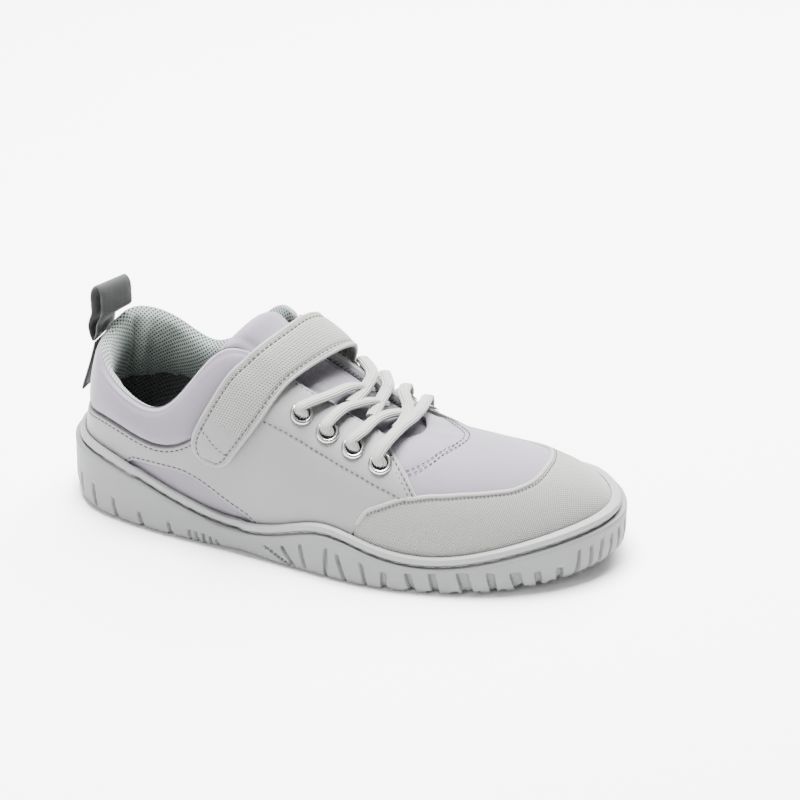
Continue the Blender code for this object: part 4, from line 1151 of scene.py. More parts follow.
@dataclass
class Eyelets:
    """Eight rolled ring eyelets, each with its barrel through the eyestay."""

    outside: float = 11.0
    hole: float = 6.2
    height: float = 1.5
    seat_height: float = 1.7
    barrel: float = 5.0
    outer: Table = ((7.10, 0.80), (7.62, 0.77), (8.15, 0.745), (8.68, 0.705))
    inner: Table = ((18.44, 0.80), (17.97, 0.77), (17.51, 0.745), (17.04, 0.72))

    def seat(self, side: str, number: int) -> tuple[Array, Array]:
        """Where an eyelet sits and which way it faces."""
        row, share = getattr(self, side)[number - 1]
        return LAST.skin(row, share, self.seat_height), LAST.normal(row, share)

    def openings(self, radius: float) -> list[tuple[Array, float]]:
        """Centres and radii of the openings that the panels leave."""
        return [(self.seat(side, number)[0], radius) for side in ("outer", "inner") for number in (1, 2, 3, 4)]

    def section(self) -> Array:
        """Half section of the ring and its barrel, as radius and height.

        Returns:
            Radius and height of each point.
        """
        hole, outside, high = self.hole / 2, self.outside / 2, self.height
        turn = np.linspace(0, np.pi, 13)
        middle, reach = (hole + outside) / 2, (outside - hole) / 2
        crown = np.column_stack([middle + reach * np.cos(turn), high * np.sin(turn) ** 0.8])
        barrel = np.array([(hole, -0.6), (hole, -self.barrel), (hole + 0.4, -self.barrel)])
        return np.concatenate([[(outside - 0.1, -0.6)], crown, barrel])

    def build(self, finish: Material) -> None:
        """Makes the rings and rides them on the shoe.

        Args:
            finish: Its material.
        """
        section = self.section()
        turn = turns(40)
        for side in ("outer", "inner"):
            for number in (1, 2, 3, 4):
                centre, normal = self.seat(side, number)
                across = unit(np.cross(normal, np.array([0.0, 0.0, 1.0])))
                up = np.cross(normal, across)
                ring = across * np.cos(turn)[:, None] + up * np.sin(turn)[:, None]
                points = centre + ring[:, None] * section[None, :, :1] + normal * (section[None, :, 1:] + 0.15)
                cloth = Cloth(f"ring_{side}_{number}", points, closed_rows=True, centre=centre - normal * 2)
                finish_piece(cloth.build(finish), "metal", f"eyelet_{side}_{number}")


@dataclass
class Upper:
    """The soft shell: vamp, collar and side inserts outside, spacer mesh inside."""

    row_steps: int = 14
    wall_columns: int = 58
    collar_columns: int = 22
    lining_columns: int = 40
    seam_width: float = 0.9
    seam_depth: float = 0.7
    lip_share: float = 0.028
    lip_depth: float = 0.5
    channel_width: float = 0.8
    vamp_layer: float = 0.55
    vamp_softness: float = 0.6
    vamp_channel: float = 0.3
    # Two sewn rows: distance up from the vamp's seam, height over the face
    vamp_rows: Table = ((1.2, 0.25), (-1.0, 0.57))
    vamp_seam: Table = (
        (8.6, 0.60), (9.3, 0.70), (10.05, 0.785), (10.83, 0.838), (11.8, 0.862), (13.0, 0.868),
    )
    # Soft creases where the vamp bends: row, share, turn in degrees from the row's line, length, width, depth
    creases: Table = (
        (10.6, 0.93, 70, 16, 3.2, 0.55),
        (11.7, 0.90, 85, 18, 3.6, -0.45),
        (12.9, 0.93, 92, 16, 3.4, 0.50),
        (14.3, 0.91, 98, 18, 3.6, -0.45),
        (15.4, 0.93, 110, 16, 3.2, 0.50),
        (9.9, 0.78, 30, 20, 4.0, -0.5),
        (16.3, 0.80, 150, 20, 4.0, -0.5),
    )

    # Folds of the lining: row, width in rows, depth
    folds: Table = ((1.5, 0.22, 1.6), (2.05, 0.18, -1.5), (2.9, 0.3, 1.0))

    def grid(self) -> tuple[Array, Array, Array]:
        """Rows, shares and the collar seam's share of the outer face.

        Returns:
            The three grids.
        """
        rows = np.arange(0, ROWS, 1 / self.row_steps)
        seam = LAST.seam_share(rows)[:, None]
        wall = seam * np.linspace(0, 1, self.wall_columns)[None]
        collar = seam + (1 - seam) * np.linspace(0, 1, self.collar_columns)[None, 1:]
        share = np.concatenate([wall, collar], axis=1)
        return np.broadcast_to(rows[:, None], share.shape), share, seam

    def vamp_share(self, row: Array) -> Array:
        """Share of the vamp's sewn seam at a row, or nothing away from the vamp.

        Args:
            row: Rows, whole or between two.

        Returns:
            The seam's share, or -1.
        """
        table = np.array(self.vamp_seam)
        fine = smooth_path(table, 200)
        return np.interp(facing(row), fine[:, 0], fine[:, 1], -1.0, table[-1, 1])

    def relief(self, row: Array, share: Array, seam: Array) -> Array:
        """Seams and creases of the outer face in millimetres.

        Args:
            row: Rows, whole or between two.
            share: Shares of the rows' curves.
            seam: Share of the collar's seam.

        Returns:
            Heights over the face.
        """
        reach = LAST.per_share(row, share)
        values = LAST.values(row)
        amount = np.clip((values[..., 4] - values[..., 5]) / 10.0, 0, 1)
        height = -self.seam_depth * amount * ridge((share - seam) * reach, self.seam_width)
        height = height - self.lip_depth * amount * ridge((share - 1 + self.lip_share) * reach, self.channel_width)
        vamp = self.vamp_share(row)
        far = (share - vamp) * reach
        layer = self.vamp_layer / (1 + np.exp(np.clip(far / self.vamp_softness, -30, 30)))
        channels = sum(self.vamp_channel * ridge(far - up, self.channel_width) for up, _ in self.vamp_rows)
        height = height + np.where(vamp > 0, layer, 0.0) - np.where(vamp > 0, channels, 0.0)
        for place, level, turn, length, width, depth in self.creases:
            spot = LAST.point(place, level)
            ahead = unit(LAST.point(place + 0.05, level) - spot)
            rise = unit(LAST.point(place, level + 0.02) - spot)
            angle = math.radians(turn)
            line = ahead * math.cos(angle) + rise * math.sin(angle)
            cross = -ahead * math.sin(angle) + rise * math.cos(angle)
            away = LAST.point(row, share) - spot
            height = height + depth * ridge(away @ cross, width) * ridge(away @ line, length / 2)
        return height

    def lining_relief(self, row: Array, share: Array) -> Array:
        """Padded folds of the lining at the heel and the ankles.

        Args:
            row: Rows, whole or between two.
            share: Shares of the rows' curves.

        Returns:
            Heights over the lining's face.
        """
        upright = np.clip((share - 0.35) / 0.2, 0, 1) * np.clip((1 - share) / 0.1, 0, 1)
        side = facing(row)
        return -upright * sum(depth * ridge(side - place, width) for place, width, depth in self.folds)

    def build(
        self,
        outside: Material,
        inside: Material,
        deep: Material,
        eyelets: Eyelets,
    ) -> None:
        """Makes the shell with its pale collar lining and the darker lining under it, whose dark material paints the
        shade inside the shoe.

        Args:
            outside: Material of the outer face.
            inside: Material of the lining at the collar.
            deep: Material of the lining under it, dark as painted shade inside the shoe.
            eyelets: The eyelets.
        """
        row, share, seam = self.grid()
        outer = LAST.skin(row, share, self.relief(row, share, seam))
        low = np.linspace(0.985, 0.0, self.lining_columns)[None] * np.ones((len(row), 1))
        inner_row = np.broadcast_to(row[:, :1], low.shape)
        inner = LAST.lining(inner_row, low, self.lining_relief(inner_row, low))
        away = LAST.normal(row[:, :1], 1.0)
        lip = LAST.point(row[:, :1], 1.0) + np.array([0, 0, 0.5]) - away * LAST.wall / 2
        points = np.concatenate([outer, lip, inner], axis=1)
        lip_column = outer.shape[1]
        slots = np.zeros((len(points), points.shape[1] - 1), int)
        slots[:, lip_column:] = 1
        # Lining below the collar seam takes the dark mesh: painted shade inside the shoe.
        slots[:, lip_column + 1 :][low[:, 1:] < seam - 0.02] = 2
        cloth = Cloth("upper_shell", points, closed_rows=True, slots=slots)
        cloth.start_column, cloth.even_column = lip_column, lip_column + 12
        cloth.keep = open_at(np.concatenate([points, points[:1]]), eyelets.openings(EYELET_OPENING))
        finish_piece(cloth.build(outside, inside, deep), "softshell", "upper")

    def sewing(self, thread: Material) -> None:
        """Sewing lines on the vamp.

        Args:
            thread: Thread of the stitches.
        """
        rows = np.arange(9.24, 16.74, 0.03)
        share = self.vamp_share(rows)
        lines = [sewing_line(rows, share, height, up) for up, height in self.vamp_rows]
        finish_piece(Stitching().build("vamp_stitches", lines, thread), "softshell")


@dataclass
class Quarter:
    """Smooth overlay round the heel, rising over the side inserts and along the toe cap to the eyestays."""

    height: float = 1.55
    insert_rise: float = 13.0
    outer_front: float = 9.2
    inner_front: float = 9.35
    rim_tuck: float = 3.0
    channel_inset: float = 2.2
    channel_width: float = 0.55
    seam_depth: float = 0.35
    seam_width: float = 0.8
    throat_inset: float = 2.0
    front_insets: tuple[float, float] = (1.9, 4.2)
    eyestay_rows: tuple[float, float] = (6.0, 8.98)
    throat_rows: tuple[float, float] = (6.5, 9.0)
    insert_rows: tuple[float, float] = (2.9, 5.75)
    collar_rows: tuple[float, float] = (-5.9, 5.91)
    insert: Table = (
        (2.9, 0.0), (3.3, 0.30), (3.8, 0.65), (4.3, 0.95), (4.7, 0.90), (5.1, 0.55), (5.5, 0.15), (5.7, 0.0),
    )
    # The sewn line behind the eyelets: row, share
    eyestay_seam: Table = (
        (5.95, 0.640), (6.35, 0.635), (6.93, 0.625), (7.5, 0.605), (8.1, 0.57), (8.72, 0.51), (9.0, 0.46),
    )

    def rise_at(self, row: Array) -> Array:
        """How far the lower edge rises over the insert.

        Args:
            row: Rows, whole or between two.

        Returns:
            The rise in millimetres.
        """
        table = np.array(self.insert)
        fine = np.maximum(smooth_path(table, 160), 0)
        return self.insert_rise * np.interp(facing(row), fine[:, 0], fine[:, 1], 0, 0)

    def low(self, row: Array) -> Array:
        """Lower edge: tucked in the sole, over the insert or along the toe cap.

        Args:
            row: Rows, whole or between two.

        Returns:
            The edge's share.
        """
        rise = self.rise_at(row)
        tucked = LAST.rim_share(row, self.rim_tuck * np.clip(1 - rise / 2.0, 0, 1) - rise)
        chord = np.linalg.norm(LAST.point(row, 0.6) - LAST.point(row, 0.4), axis=-1) / 0.2
        return np.maximum(tucked, ToeCap().edge_share(row) - 1.2 / chord)

    def high(self, row: Array) -> Array:
        """Upper edge: the collar seam or the throat's edge.

        Args:
            row: Rows, whole or between two.

        Returns:
            The edge's share.
        """
        values = LAST.values(row)
        seam = LAST.share_at(row, np.minimum(values[..., 5], values[..., 4] - 0.2) - 0.4, 0.9)
        return np.where(values[..., 5] > values[..., 4] - 2.0, 0.995, seam)

    def relief(self, row: Array, share: Array, far: Array) -> Array:
        """Sewn channels beside the edges and behind the eyelets.

        Args:
            row: Rows, whole or between two.
            share: Shares of the rows' curves.
            far: Distances from the low, high, first and last edges.

        Returns:
            Extra height.
        """
        height = 0.0
        for away, depth in ((far[..., 1], 0.22), (np.minimum(far[..., 2], far[..., 3]), 0.22), (far[..., 0], 0.18)):
            height = height - depth * ridge(away - self.channel_inset, self.channel_width)
        table = np.array(self.eyestay_seam)
        seam = np.interp(facing(row), table[:, 0], table[:, 1], -1, -1)
        reach = LAST.per_share(row, share)
        gap = (share - seam) * reach
        step = np.clip(gap + 0.5, 0, 1) - ridge(gap, self.seam_width)
        return height + np.where(seam > 0, self.seam_depth * step, 0.0)

    def build(self, finish: Material, eyelets: Eyelets) -> None:
        """Makes the panel with its eyelet holes.

        Args:
            finish: Its material.
            eyelets: The eyelets.
        """
        ends = np.array([0.0, 0.01, 0.02, 0.035, 0.055, 0.08, 0.115, 0.16])
        rows = np.concatenate(
            [-self.inner_front + ends, np.arange(-9.15, 9.0, 0.06), self.outer_front - ends[::-1]]
        )
        rows = np.unique(np.round(rows, 4))
        low, high = self.low(rows), self.high(rows)
        smooth = np.array([1, 2, 3, 2, 1]) / 9
        high = np.convolve(np.pad(high, 2, mode="edge"), smooth, mode="valid")
        panel = Overlay("quarter_panel", rows, low, high, self.height, middle_columns=44)
        made = panel.build(finish, self.relief, eyelets.openings(EYELET_OPENING), len(rows) // 2)
        finish_piece(made, "microfibre", "quarter")

    def sewing(self, thread: Material) -> None:
        """Stitches behind the eyelets, beside the front edges and along the throat.

        Args:
            thread: Thread of the stitches.
        """
        table = np.array(self.eyestay_seam)
        share = np.linspace(0.52, 0.93, 80)
        lines = []
        for sign, front in ((1, self.outer_front), (-1, self.inner_front)):
            rows = np.arange(*self.eyestay_rows, STITCH_STEP)
            behind = np.interp(rows, table[:, 0], table[:, 1])
            lines.append(sewing_line(other_side(rows, sign), behind, self.height + 0.02))
            row = other_side(np.arange(*self.throat_rows, STITCH_STEP), sign)
            lines.append(sewing_line(row, 0.995, self.height - 0.05, -self.throat_inset, -0.02))
            row = np.full(share.shape, other_side(front, sign))
            point, out = sewing_line(row, share, self.height - 0.05)
            ahead = unit(LAST.point(row + 0.02 * sign, share) - LAST.point(row, share))
            lines += [(point - ahead * inset, out) for inset in self.front_insets]
            row = other_side(np.arange(*self.insert_rows, STITCH_STEP), sign)
            lines.append(sewing_line(row, self.low(row), self.height - 0.02, self.channel_inset))
        finish_piece(Stitching().build("quarter_stitches", lines, thread), "microfibre")

    def edging(self, finish: Material) -> None:
        """Raw light edge along the throat and down the front of each eyestay.

        Args:
            finish: Material of the edge.
        """
        turn = turns(8)
        for name, sign, front in (("outer", 1, self.outer_front), ("inner", -1, self.inner_front)):
            along = np.arange(6.4, front - 0.06, 0.04)
            down = np.linspace(0.97, 0.53, 40)
            row = other_side(np.concatenate([along, np.full(down.shape, front - 0.02)]), sign)
            share = np.concatenate([np.full(along.shape, 0.985), down])
            path = even_path(LAST.skin(row, share, self.height - 0.35), 1.2)
            across, outward = cord_frames(path, LAST.normal(row, share)[len(row) // 2])
            points = tube(path, across, outward, 0.5 * np.cos(turn), 0.55 * np.sin(turn))
            finish_piece(Cloth(f"eyestay_edge_{name}", points, closed_columns=True).build(finish), "microfibre")

    def collar_sewing(self, thread: Material) -> None:
        """One row of stitches just under the collar.

        Args:
            thread: Thread of the stitches.
        """
        rows = np.arange(*self.collar_rows, STITCH_STEP)
        lines = [sewing_line(rows, self.high(rows), self.height - 0.05, -self.channel_inset, -0.02)]
        finish_piece(Stitching().build("collar_stitches", lines, thread), "microfibre")


@dataclass
class ToeCap:
    """Woven cap round the toes with a light rolled edge."""

    height: float = 1.5
    rim_tuck: float = 3.0
    bead: float = 1.15
    groove_inset: float = 1.7
    groove_depth: float = 0.35
    groove_width: float = 0.7
    outer_end: float = 7.6
    inner_end: float = 18.4
    edge: Table = (
        (7.6, 0.20), (8.0, 0.36), (8.8, 0.49), (9.5, 0.545), (10.2, 0.555),
        (10.9, 0.535), (11.4, 0.515), (12.0, 0.52), (12.65, 0.555), (13.2, 0.56),
    )

    def edge_share(self, row: Array) -> Array:
        """Share of the cap's upper edge at a row, under the rim outside the cap.

        Args:
            row: Rows, whole or between two.

        Returns:
            The edge's share, or -1.
        """
        edge = np.array(self.edge + tuple((ROWS - place, share) for place, share in self.edge[-2::-1]))
        return np.interp(np.mod(row, ROWS), edge[:, 0], edge[:, 1], -1, -1)

    def smooth_edge(self, row: Array) -> Array:
        """The upper edge as a soft curve."""
        return (self.edge_share(row - 0.12) + 2 * self.edge_share(row) + self.edge_share(row + 0.12)) / 4

    def relief(self, row: Array, share: Array, far: Array) -> Array:
        """The sewn groove beside the rolled edge."""
        return -self.groove_depth * ridge(far[..., 1] - self.groove_inset, self.groove_width)

    def build(self, finish: Material, piping: Material) -> None:
        """Makes the cap and its rolled edge.

        Args:
            finish: Its material.
            piping: Material of the rolled edge.
        """
        rows = np.concatenate([[7.62, 7.66, 7.7, 7.75], np.arange(7.8, 18.21, 0.045), [18.25, 18.3, 18.34, 18.38]])
        high = np.where((rows > 7.75) & (rows < 18.25), self.smooth_edge(rows), self.edge_share(rows))
        low = np.minimum(LAST.rim_share(rows, self.rim_tuck), high - 0.02)
        panel = Overlay("toe_cap_panel", rows, low, high, self.height, middle_columns=52)
        made = panel.build(finish, self.relief)
        lay_flat(made)
        finish_piece(made, "woven", "toe_cap")
        path, outward = sewing_line(rows, high, self.height - 0.75)
        side = np.cross(outward, unit(np.gradient(path, axis=0)))
        from_end = np.minimum(rows - self.outer_end, self.inner_end - rows)
        girth = self.bead * np.clip(from_end / 0.2, 0.3, 1)[:, None]
        points = tube(path, side, outward, girth * np.cos(turns(14)), girth * np.sin(turns(14)))
        finish_piece(Cloth("toe_cap_piping", points, closed_columns=True).build(piping), "woven")

    def sewing(self, thread: Material) -> None:
        """Stitches under the rolled edge.

        Args:
            thread: Thread of the stitches.
        """
        rows = np.arange(8.0, 18.0, STITCH_STEP)
        lines = [sewing_line(rows, self.smooth_edge(rows), self.height, -self.groove_inset)]
        finish_piece(Stitching(1.8, 1.2, 0.5).build("toe_cap_stitches", lines, thread), "woven")


@dataclass
class Sole:
    """Cup sole: stitched rim, ribbed side wall and lugged tread in one moulding."""

    row_steps: int = 48
    tread_rings: int = 44
    groove_drop: float = 3.4
    groove_depth: float = 1.25
    ledge_drop: float = 5.0
    side_wall: float = 1.8
    rim_width: float = 2.4
    rim_tuck: float = 3.0
    overlay_gap: float = 0.6
    layer: float = 1.1
    lug_depth: float = 3.0
    cut_scale: float = 1.35
    spine_inset: float = 15.0
    hub: tuple[float, float] = (0.655, -0.02)
    hub_radius: float = 12.0
    # Inset and lift of the tread's edge at rows
    tread_edge: Table = (
        (0.0, 3.5, 0.0), (3.0, 2.0, 0.0), (5.0, 2.0, 0.0), (8.0, 1.6, 0.0), (12.0, 2.4, 0.0), (14.0, 2.4, 0.0),
        (18.0, 2.0, 0.0), (19.0, 6.0, 2.0), (20.0, 11.0, 4.0), (21.0, 9.0, 3.0), (22.0, 3.0, 0.5), (23.0, 2.0, 0.0),
        (26.0, 3.5, 0.0),
    )
    # Cuts in the outer side wall: row and height at the top, row and height at the bottom, width, depth
    side_cuts: Table = (
        (8.22, 10.0, 8.24, -1.0, 2.4, 1.6), (8.66, 10.9, 8.78, -1.0, 2.6, 1.8), (9.10, 11.9, 9.20, -1.0, 3.0, 1.8),
        (9.64, 12.8, 9.80, -1.0, 5.0, 1.8), (10.16, 12.7, 10.28, -1.0, 3.2, 1.8),
        (10.62, 12.3, 10.80, -1.0, 4.6, 1.8), (11.06, 11.5, 11.18, -1.0, 2.8, 1.8),
        (11.50, 12.0, 11.60, -1.0, 3.0, 1.8),
        (5.88, 9.3, 6.40, 1.4, 1.4, 1.3), (6.22, 11.6, 6.46, 2.0, 1.4, 1.3), (6.58, 15.2, 6.68, 2.5, 1.4, 1.3),
        (7.10, 16.4, 7.08, 1.0, 1.6, 1.3), (7.30, 15.4, 7.48, 1.0, 1.5, 1.3), (7.50, 14.4, 7.80, 12.4, 1.3, 1.1),
        (7.80, 12.2, 7.88, 1.0, 1.5, 1.3),
        (11.90, 18.5, 11.88, 5.0, 1.5, 1.3), (12.14, 19.5, 12.14, 5.0, 1.5, 1.3), (12.36, 20.5, 12.32, 6.0, 1.5, 1.3),
        (12.58, 21.0, 12.54, 6.0, 1.5, 1.3), (12.78, 21.5, 12.76, 6.0, 1.5, 1.3), (13.0, 22.0, 13.0, 6.0, 1.5, 1.3),
        (0.0, 18.0, 0.0, 8.0, 1.8, 1.3), (0.45, 18.0, 0.48, 8.0, 1.8, 1.3), (0.95, 17.0, 1.0, 7.0, 1.8, 1.3),
        (1.50, 16.4, 1.56, 6.0, 1.8, 1.3), (2.08, 15.4, 2.16, 4.0, 1.8, 1.4), (2.68, 11.6, 2.78, 1.0, 1.8, 1.4),
        (3.32, 8.9, 3.42, -1.0, 1.7, 1.3), (3.96, 8.2, 4.04, -1.0, 1.6, 1.3), (4.38, 7.3, 4.42, -1.0, 1.4, 1.2),
        (4.52, 6.9, 4.56, -1.0, 1.2, 1.1), (4.66, 6.9, 4.70, -1.0, 1.2, 1.1), (4.80, 6.2, 4.82, -1.0, 1.2, 1.1),
        (4.92, 5.6, 4.96, -1.0, 1.2, 1.1),
    )
    fan_outer: Table = (
        (0.640, -0.47), (0.675, -0.49), (0.715, -0.475), (0.760, -0.45), (0.800, -0.42), (0.842, -0.37),
        (0.880, -0.31), (0.918, -0.24),
    )
    fan_inner: Table = (
        (0.560, 0.42), (0.600, 0.45), (0.640, 0.49), (0.685, 0.50), (0.730, 0.51), (0.775, 0.52), (0.820, 0.51),
        (0.862, 0.50), (0.900, 0.47),
    )
    fan_toe: Table = ((0.935, 0.42), (0.965, 0.30), (0.985, 0.20))
    ribs: tuple[float, ...] = (-0.30, -0.19, -0.08, 0.03, 0.14, 0.25)
    crossings: tuple[float, ...] = (0.30, 0.36, 0.42, 0.48, 0.54)
    heel_crossings: tuple[float, ...] = (0.06, 0.115, 0.17, 0.225)

    def plan(self, share: tuple[float, float]) -> Array:
        """A place of the tread from shares of the length and the ball's width."""
        return np.array([share[0] * LAST.sole_length, share[1] * LAST.ball_width])

    def channels(self) -> list[tuple[Array, Array, float]]:
        """Starts, ends and widths of every channel in the tread.

        Returns:
            Start, end and width of each channel.
        """
        hub = self.plan(self.hub)
        made = []
        for ends in (self.fan_outer, self.fan_inner, self.fan_toe):
            for index, share in enumerate(ends):
                away = unit(self.plan(share) - hub)
                start = hub + away * (self.hub_radius * (2.2 if index % 2 else 1.0))
                made.append((start, self.plan(share) + away * 6.0, 2.6))
        for index, share in enumerate(self.ribs):
            start = self.plan((0.275 + 0.003 * index, share * 0.8))
            made.append((start, self.plan((0.59 - abs(share) * 0.12, share)), 2.0))
        for share in self.crossings:
            made.append((self.plan((share, -0.36)), self.plan((share + 0.05, 0.30)), 2.0))
        for share in self.heel_crossings:
            made.append((self.plan((share, -0.40)), self.plan((share + 0.02, 0.40)), 2.4))
        return made

    def channel_depth(self, plan: Array) -> Array:
        """How deep the tread is cut at places in plan, as a share of the lugs' depth.

        Args:
            plan: Places in plan.

        Returns:
            Shares of the full depth.
        """
        depth = np.zeros(plan.shape[:-1])
        for start, end, width in self.channels():
            line = end - start
            share = np.clip(((plan - start) @ line) / (line @ line), 0, 1)
            away = np.linalg.norm(plan - start - share[..., None] * line, axis=-1)
            depth = np.maximum(depth, np.clip((width / 2 + 0.35 - away) / 0.7, 0, 1))
        return depth

    def side_depth(self, rows: Array, reach: Array, heights: Array) -> Array:
        """Depth in millimetres of the cuts in the side wall.

        Args:
            rows: Row of each line up the side.
            reach: Distance round the edge of each row.
            heights: Heights of the grid, one line a row.

        Returns:
            How far each point moves in.
        """
        depth = np.zeros(heights.shape)
        whole = reach[-1] + (reach[1] - reach[0])
        for top_row, top, low_row, low, width, deep in self.side_cuts:
            for sign in (1,) if top_row in (0.0, TOE_ROW) else (1, -1):
                ends = np.mod(np.array([top_row, low_row]) * sign, ROWS)
                place = np.interp(ends, np.append(rows, ROWS), np.append(reach, whole))
                share = np.clip((top - heights) / max(top - low, 0.1), 0, 1)
                gap = reach[:, None] - (place[0] + (place[1] - place[0]) * share)
                gap = np.mod(gap + whole / 2, whole) - whole / 2
                across = np.clip((width / 2 + 0.25 - np.abs(gap)) / 0.5, 0, 1)
                up = np.clip((top - heights) / 0.7, 0, 1) * np.clip((heights - low + 0.6) / 1.0, 0, 1)
                depth = np.maximum(depth, self.cut_scale * deep * across * up)
        return depth

    def build(self, finish: Material, lit_band_finish: Material, thread: Material) -> None:
        """Makes the sole and the stitches in its groove.

        Args:
            finish: Rubber of the tread and the wall, its colour darkened as painted shade on the wall near the
                ground.
            lit_band_finish: Paler rubber of the band above the groove, its lighter colour painted light on the rim.
            thread: Thread of the stitches.
        """
        rows = np.arange(0, ROWS, 1 / self.row_steps)
        values = LAST.values(rows)
        edge = np.array(self.tread_edge)
        inset = np.interp(rows, edge[:, 0], edge[:, 1])
        lift = np.interp(rows, edge[:, 0], edge[:, 2])
        rim = values[:, 10]
        side, out = LAST.outline(rows)
        lifted = LAST.ground(side[:, 0])
        covered = np.clip(2 - Quarter().rise_at(rows) / 2.0, 0, 1)
        cup = self.overlay_gap + (self.layer + LAST.clearance) * covered
        top = LAST.skin(rows, LAST.rim_share(rows, 0.0), cup)
        tuck = LAST.skin(rows, LAST.rim_share(rows, self.rim_tuck + 1.0), cup)
        low_wall = LAST.skin(rows, LAST.rim_share(rows, self.ledge_drop), cup)
        bulge = np.einsum("ij,ij->i", (low_wall - top)[:, :2], out)
        band = top[:, :2] + out * np.maximum(self.rim_width, bulge + self.side_wall)[:, None]
        groove = band - out * self.groove_depth
        ledge = side + out * np.maximum(0.0, np.einsum("ij,ij->i", band - side, out))[:, None]

        def at(plan: Array, height: Array) -> Array:
            """Points of a ring at given heights."""
            return np.concatenate([plan, np.broadcast_to(height, len(rows))[:, None]], 1)

        corners = [
            (at(side - out * (inset + 0.8)[:, None], lifted + lift), 1),
            (at(side - out * inset[:, None], lifted + lift + 0.5), 3),
            (at(side - out * (inset * 0.25)[:, None], lifted + 3.0 + lift), 5),
            (at(side, lifted + 8.0 + lift * 0.5), 9),
            (at(ledge - out * 0.15, rim - self.ledge_drop - 0.5), 1),
            (at(ledge - out * 0.6, rim - self.ledge_drop + 0.1), 1),
            (at(groove, rim - self.ledge_drop + 0.35), 2),
            (at(groove, rim - self.groove_drop), 1),
            (at(band - out * 0.35, rim - self.groove_drop + 0.1), 1),
            (at(band + out * 0.15, rim - self.groove_drop + 0.6), 2),
            (at(band, rim - 0.9), 1),
            (at(band - out * 0.3, rim - 0.25), 1),
            (at(band - out * 0.9, rim), 2),
            (top + np.array([0, 0, 0.02]), 1),
            (top - np.column_stack([out * 0.15, np.full(len(rows), 0.5)]), 2),
            (tuck, 1),
        ]
        rings = []
        for (ring, steps), (after, _) in zip(corners[:-1], corners[1:]):
            rings += [ring + (after - ring) * step / steps for step in range(steps)]
        rings.append(corners[-1][0])
        wall = np.stack(rings, axis=1)
        reach = lengths(side)
        cut = self.side_depth(rows, reach, wall[..., 2])
        under_ledge = np.clip((rim[:, None] - self.ledge_drop - 0.4 - wall[..., 2]) / 0.6, 0, 1)
        wall[..., :2] -= out[:, None] * (cut * under_ledge)[..., None]
        middle = self.spine(rows)
        share = np.linspace(0, 1, self.tread_rings)[None, :-1, None]
        plan = middle[:, None] + (wall[:, :1, :2] - middle[:, None]) * share
        height = LAST.ground(plan[..., 0]) + lift[:, None] * share[..., 0] ** 3
        height = height + self.lug_depth * self.channel_depth(plan)
        tread = np.concatenate([plan, height[..., None]], axis=-1)
        wrap = np.minimum(self.lug_depth * self.channel_depth(wall[:, :3, :2]), 2.6)
        wall[:, :3, 2] += wrap * np.array([1.0, 0.6, 0.2])
        points = np.concatenate([tread, wall], axis=1)
        slots = np.zeros((len(points), points.shape[1] - 1), int)
        # Faces above the groove take the paler band rubber, painted light on the rim.
        slots[:, tread.shape[1] + sum(steps for _, steps in corners[:8]) :] = 1
        cloth = Cloth("sole_moulding", points, closed_rows=True, slots=slots, sharp_angle=38.0)
        cloth.centre = (134.0, 0.0, 12.0)
        finish_piece(cloth.build(finish, lit_band_finish), "rubber", "outsole")
        line = np.column_stack([groove + out * 0.15, rim - 0.5 * (self.groove_drop + self.ledge_drop)])
        line = np.concatenate([line, line[:2]])
        outward = np.column_stack([np.concatenate([out, out[:2]]), np.zeros(len(line))])
        finish_piece(Stitching(7.4, 5.6, 0.8).build("sole_stitches", [(line, outward)], thread), "rubber")

    def spine(self, rows: Array) -> Array:
        """Plan points on the sole's centre line, kept short of both ends.

        Args:
            rows: Rows, whole or between two.

        Returns:
            The points in plan.
        """
        edge, _ = LAST.outline(rows, 3.0)
        across, _ = LAST.outline(ROWS - rows, 3.0)
        middle = (edge + across) / 2
        middle[:, 0] = self.spine_inset + middle[:, 0] * (1 - 2 * self.spine_inset / LAST.sole_length)
        return middle


@dataclass
class Footbed:
    """Loose insole, slightly dished, with a mesh face."""

    gap: float = 1.2
    thickness: float = 3.5
    dish: float = 1.6

    def build(self, finish: Material) -> None:
        """Makes the insole's top and edge.

        Args:
            finish: Its material.
        """
        rows = np.arange(0, ROWS, 1 / 10)
        low = LAST.lining(rows, 0.0, self.gap)[:, :2]
        high = LAST.lining(rows, 0.05, self.gap)[:, :2]
        middle = Sole().spine(rows)
        rings = [
            (middle + (high - middle) * share, self.thickness + 0.6 + self.dish * share**6)
            for share in np.linspace(0, 1, 24)
        ]
        rings += [(high + (high - middle) * 0.004, self.thickness), (low, 0.7)]
        points = np.stack(
            [np.column_stack([plan, LAST.ground(plan[:, 0]) + LAST.sole_thickness + lift]) for plan, lift in rings],
            axis=1,
        )
        made = Cloth("footbed", points, closed_rows=True, centre=(134.0, 0.0, 0.0)).build(finish)
        mesh = made.data
        corner = np.empty(len(mesh.loops), np.int32)
        mesh.loops.foreach_get("vertex_index", corner)
        place = np.empty(len(mesh.vertices) * 3, np.float32)
        mesh.vertices.foreach_get("co", place)
        uv = place.reshape(-1, 3)[corner][:, :2] * 1000
        mesh.uv_layers["arc"].data.foreach_set("uv", uv.reshape(-1))
        finish_piece(made, "insole_mesh", "insole")


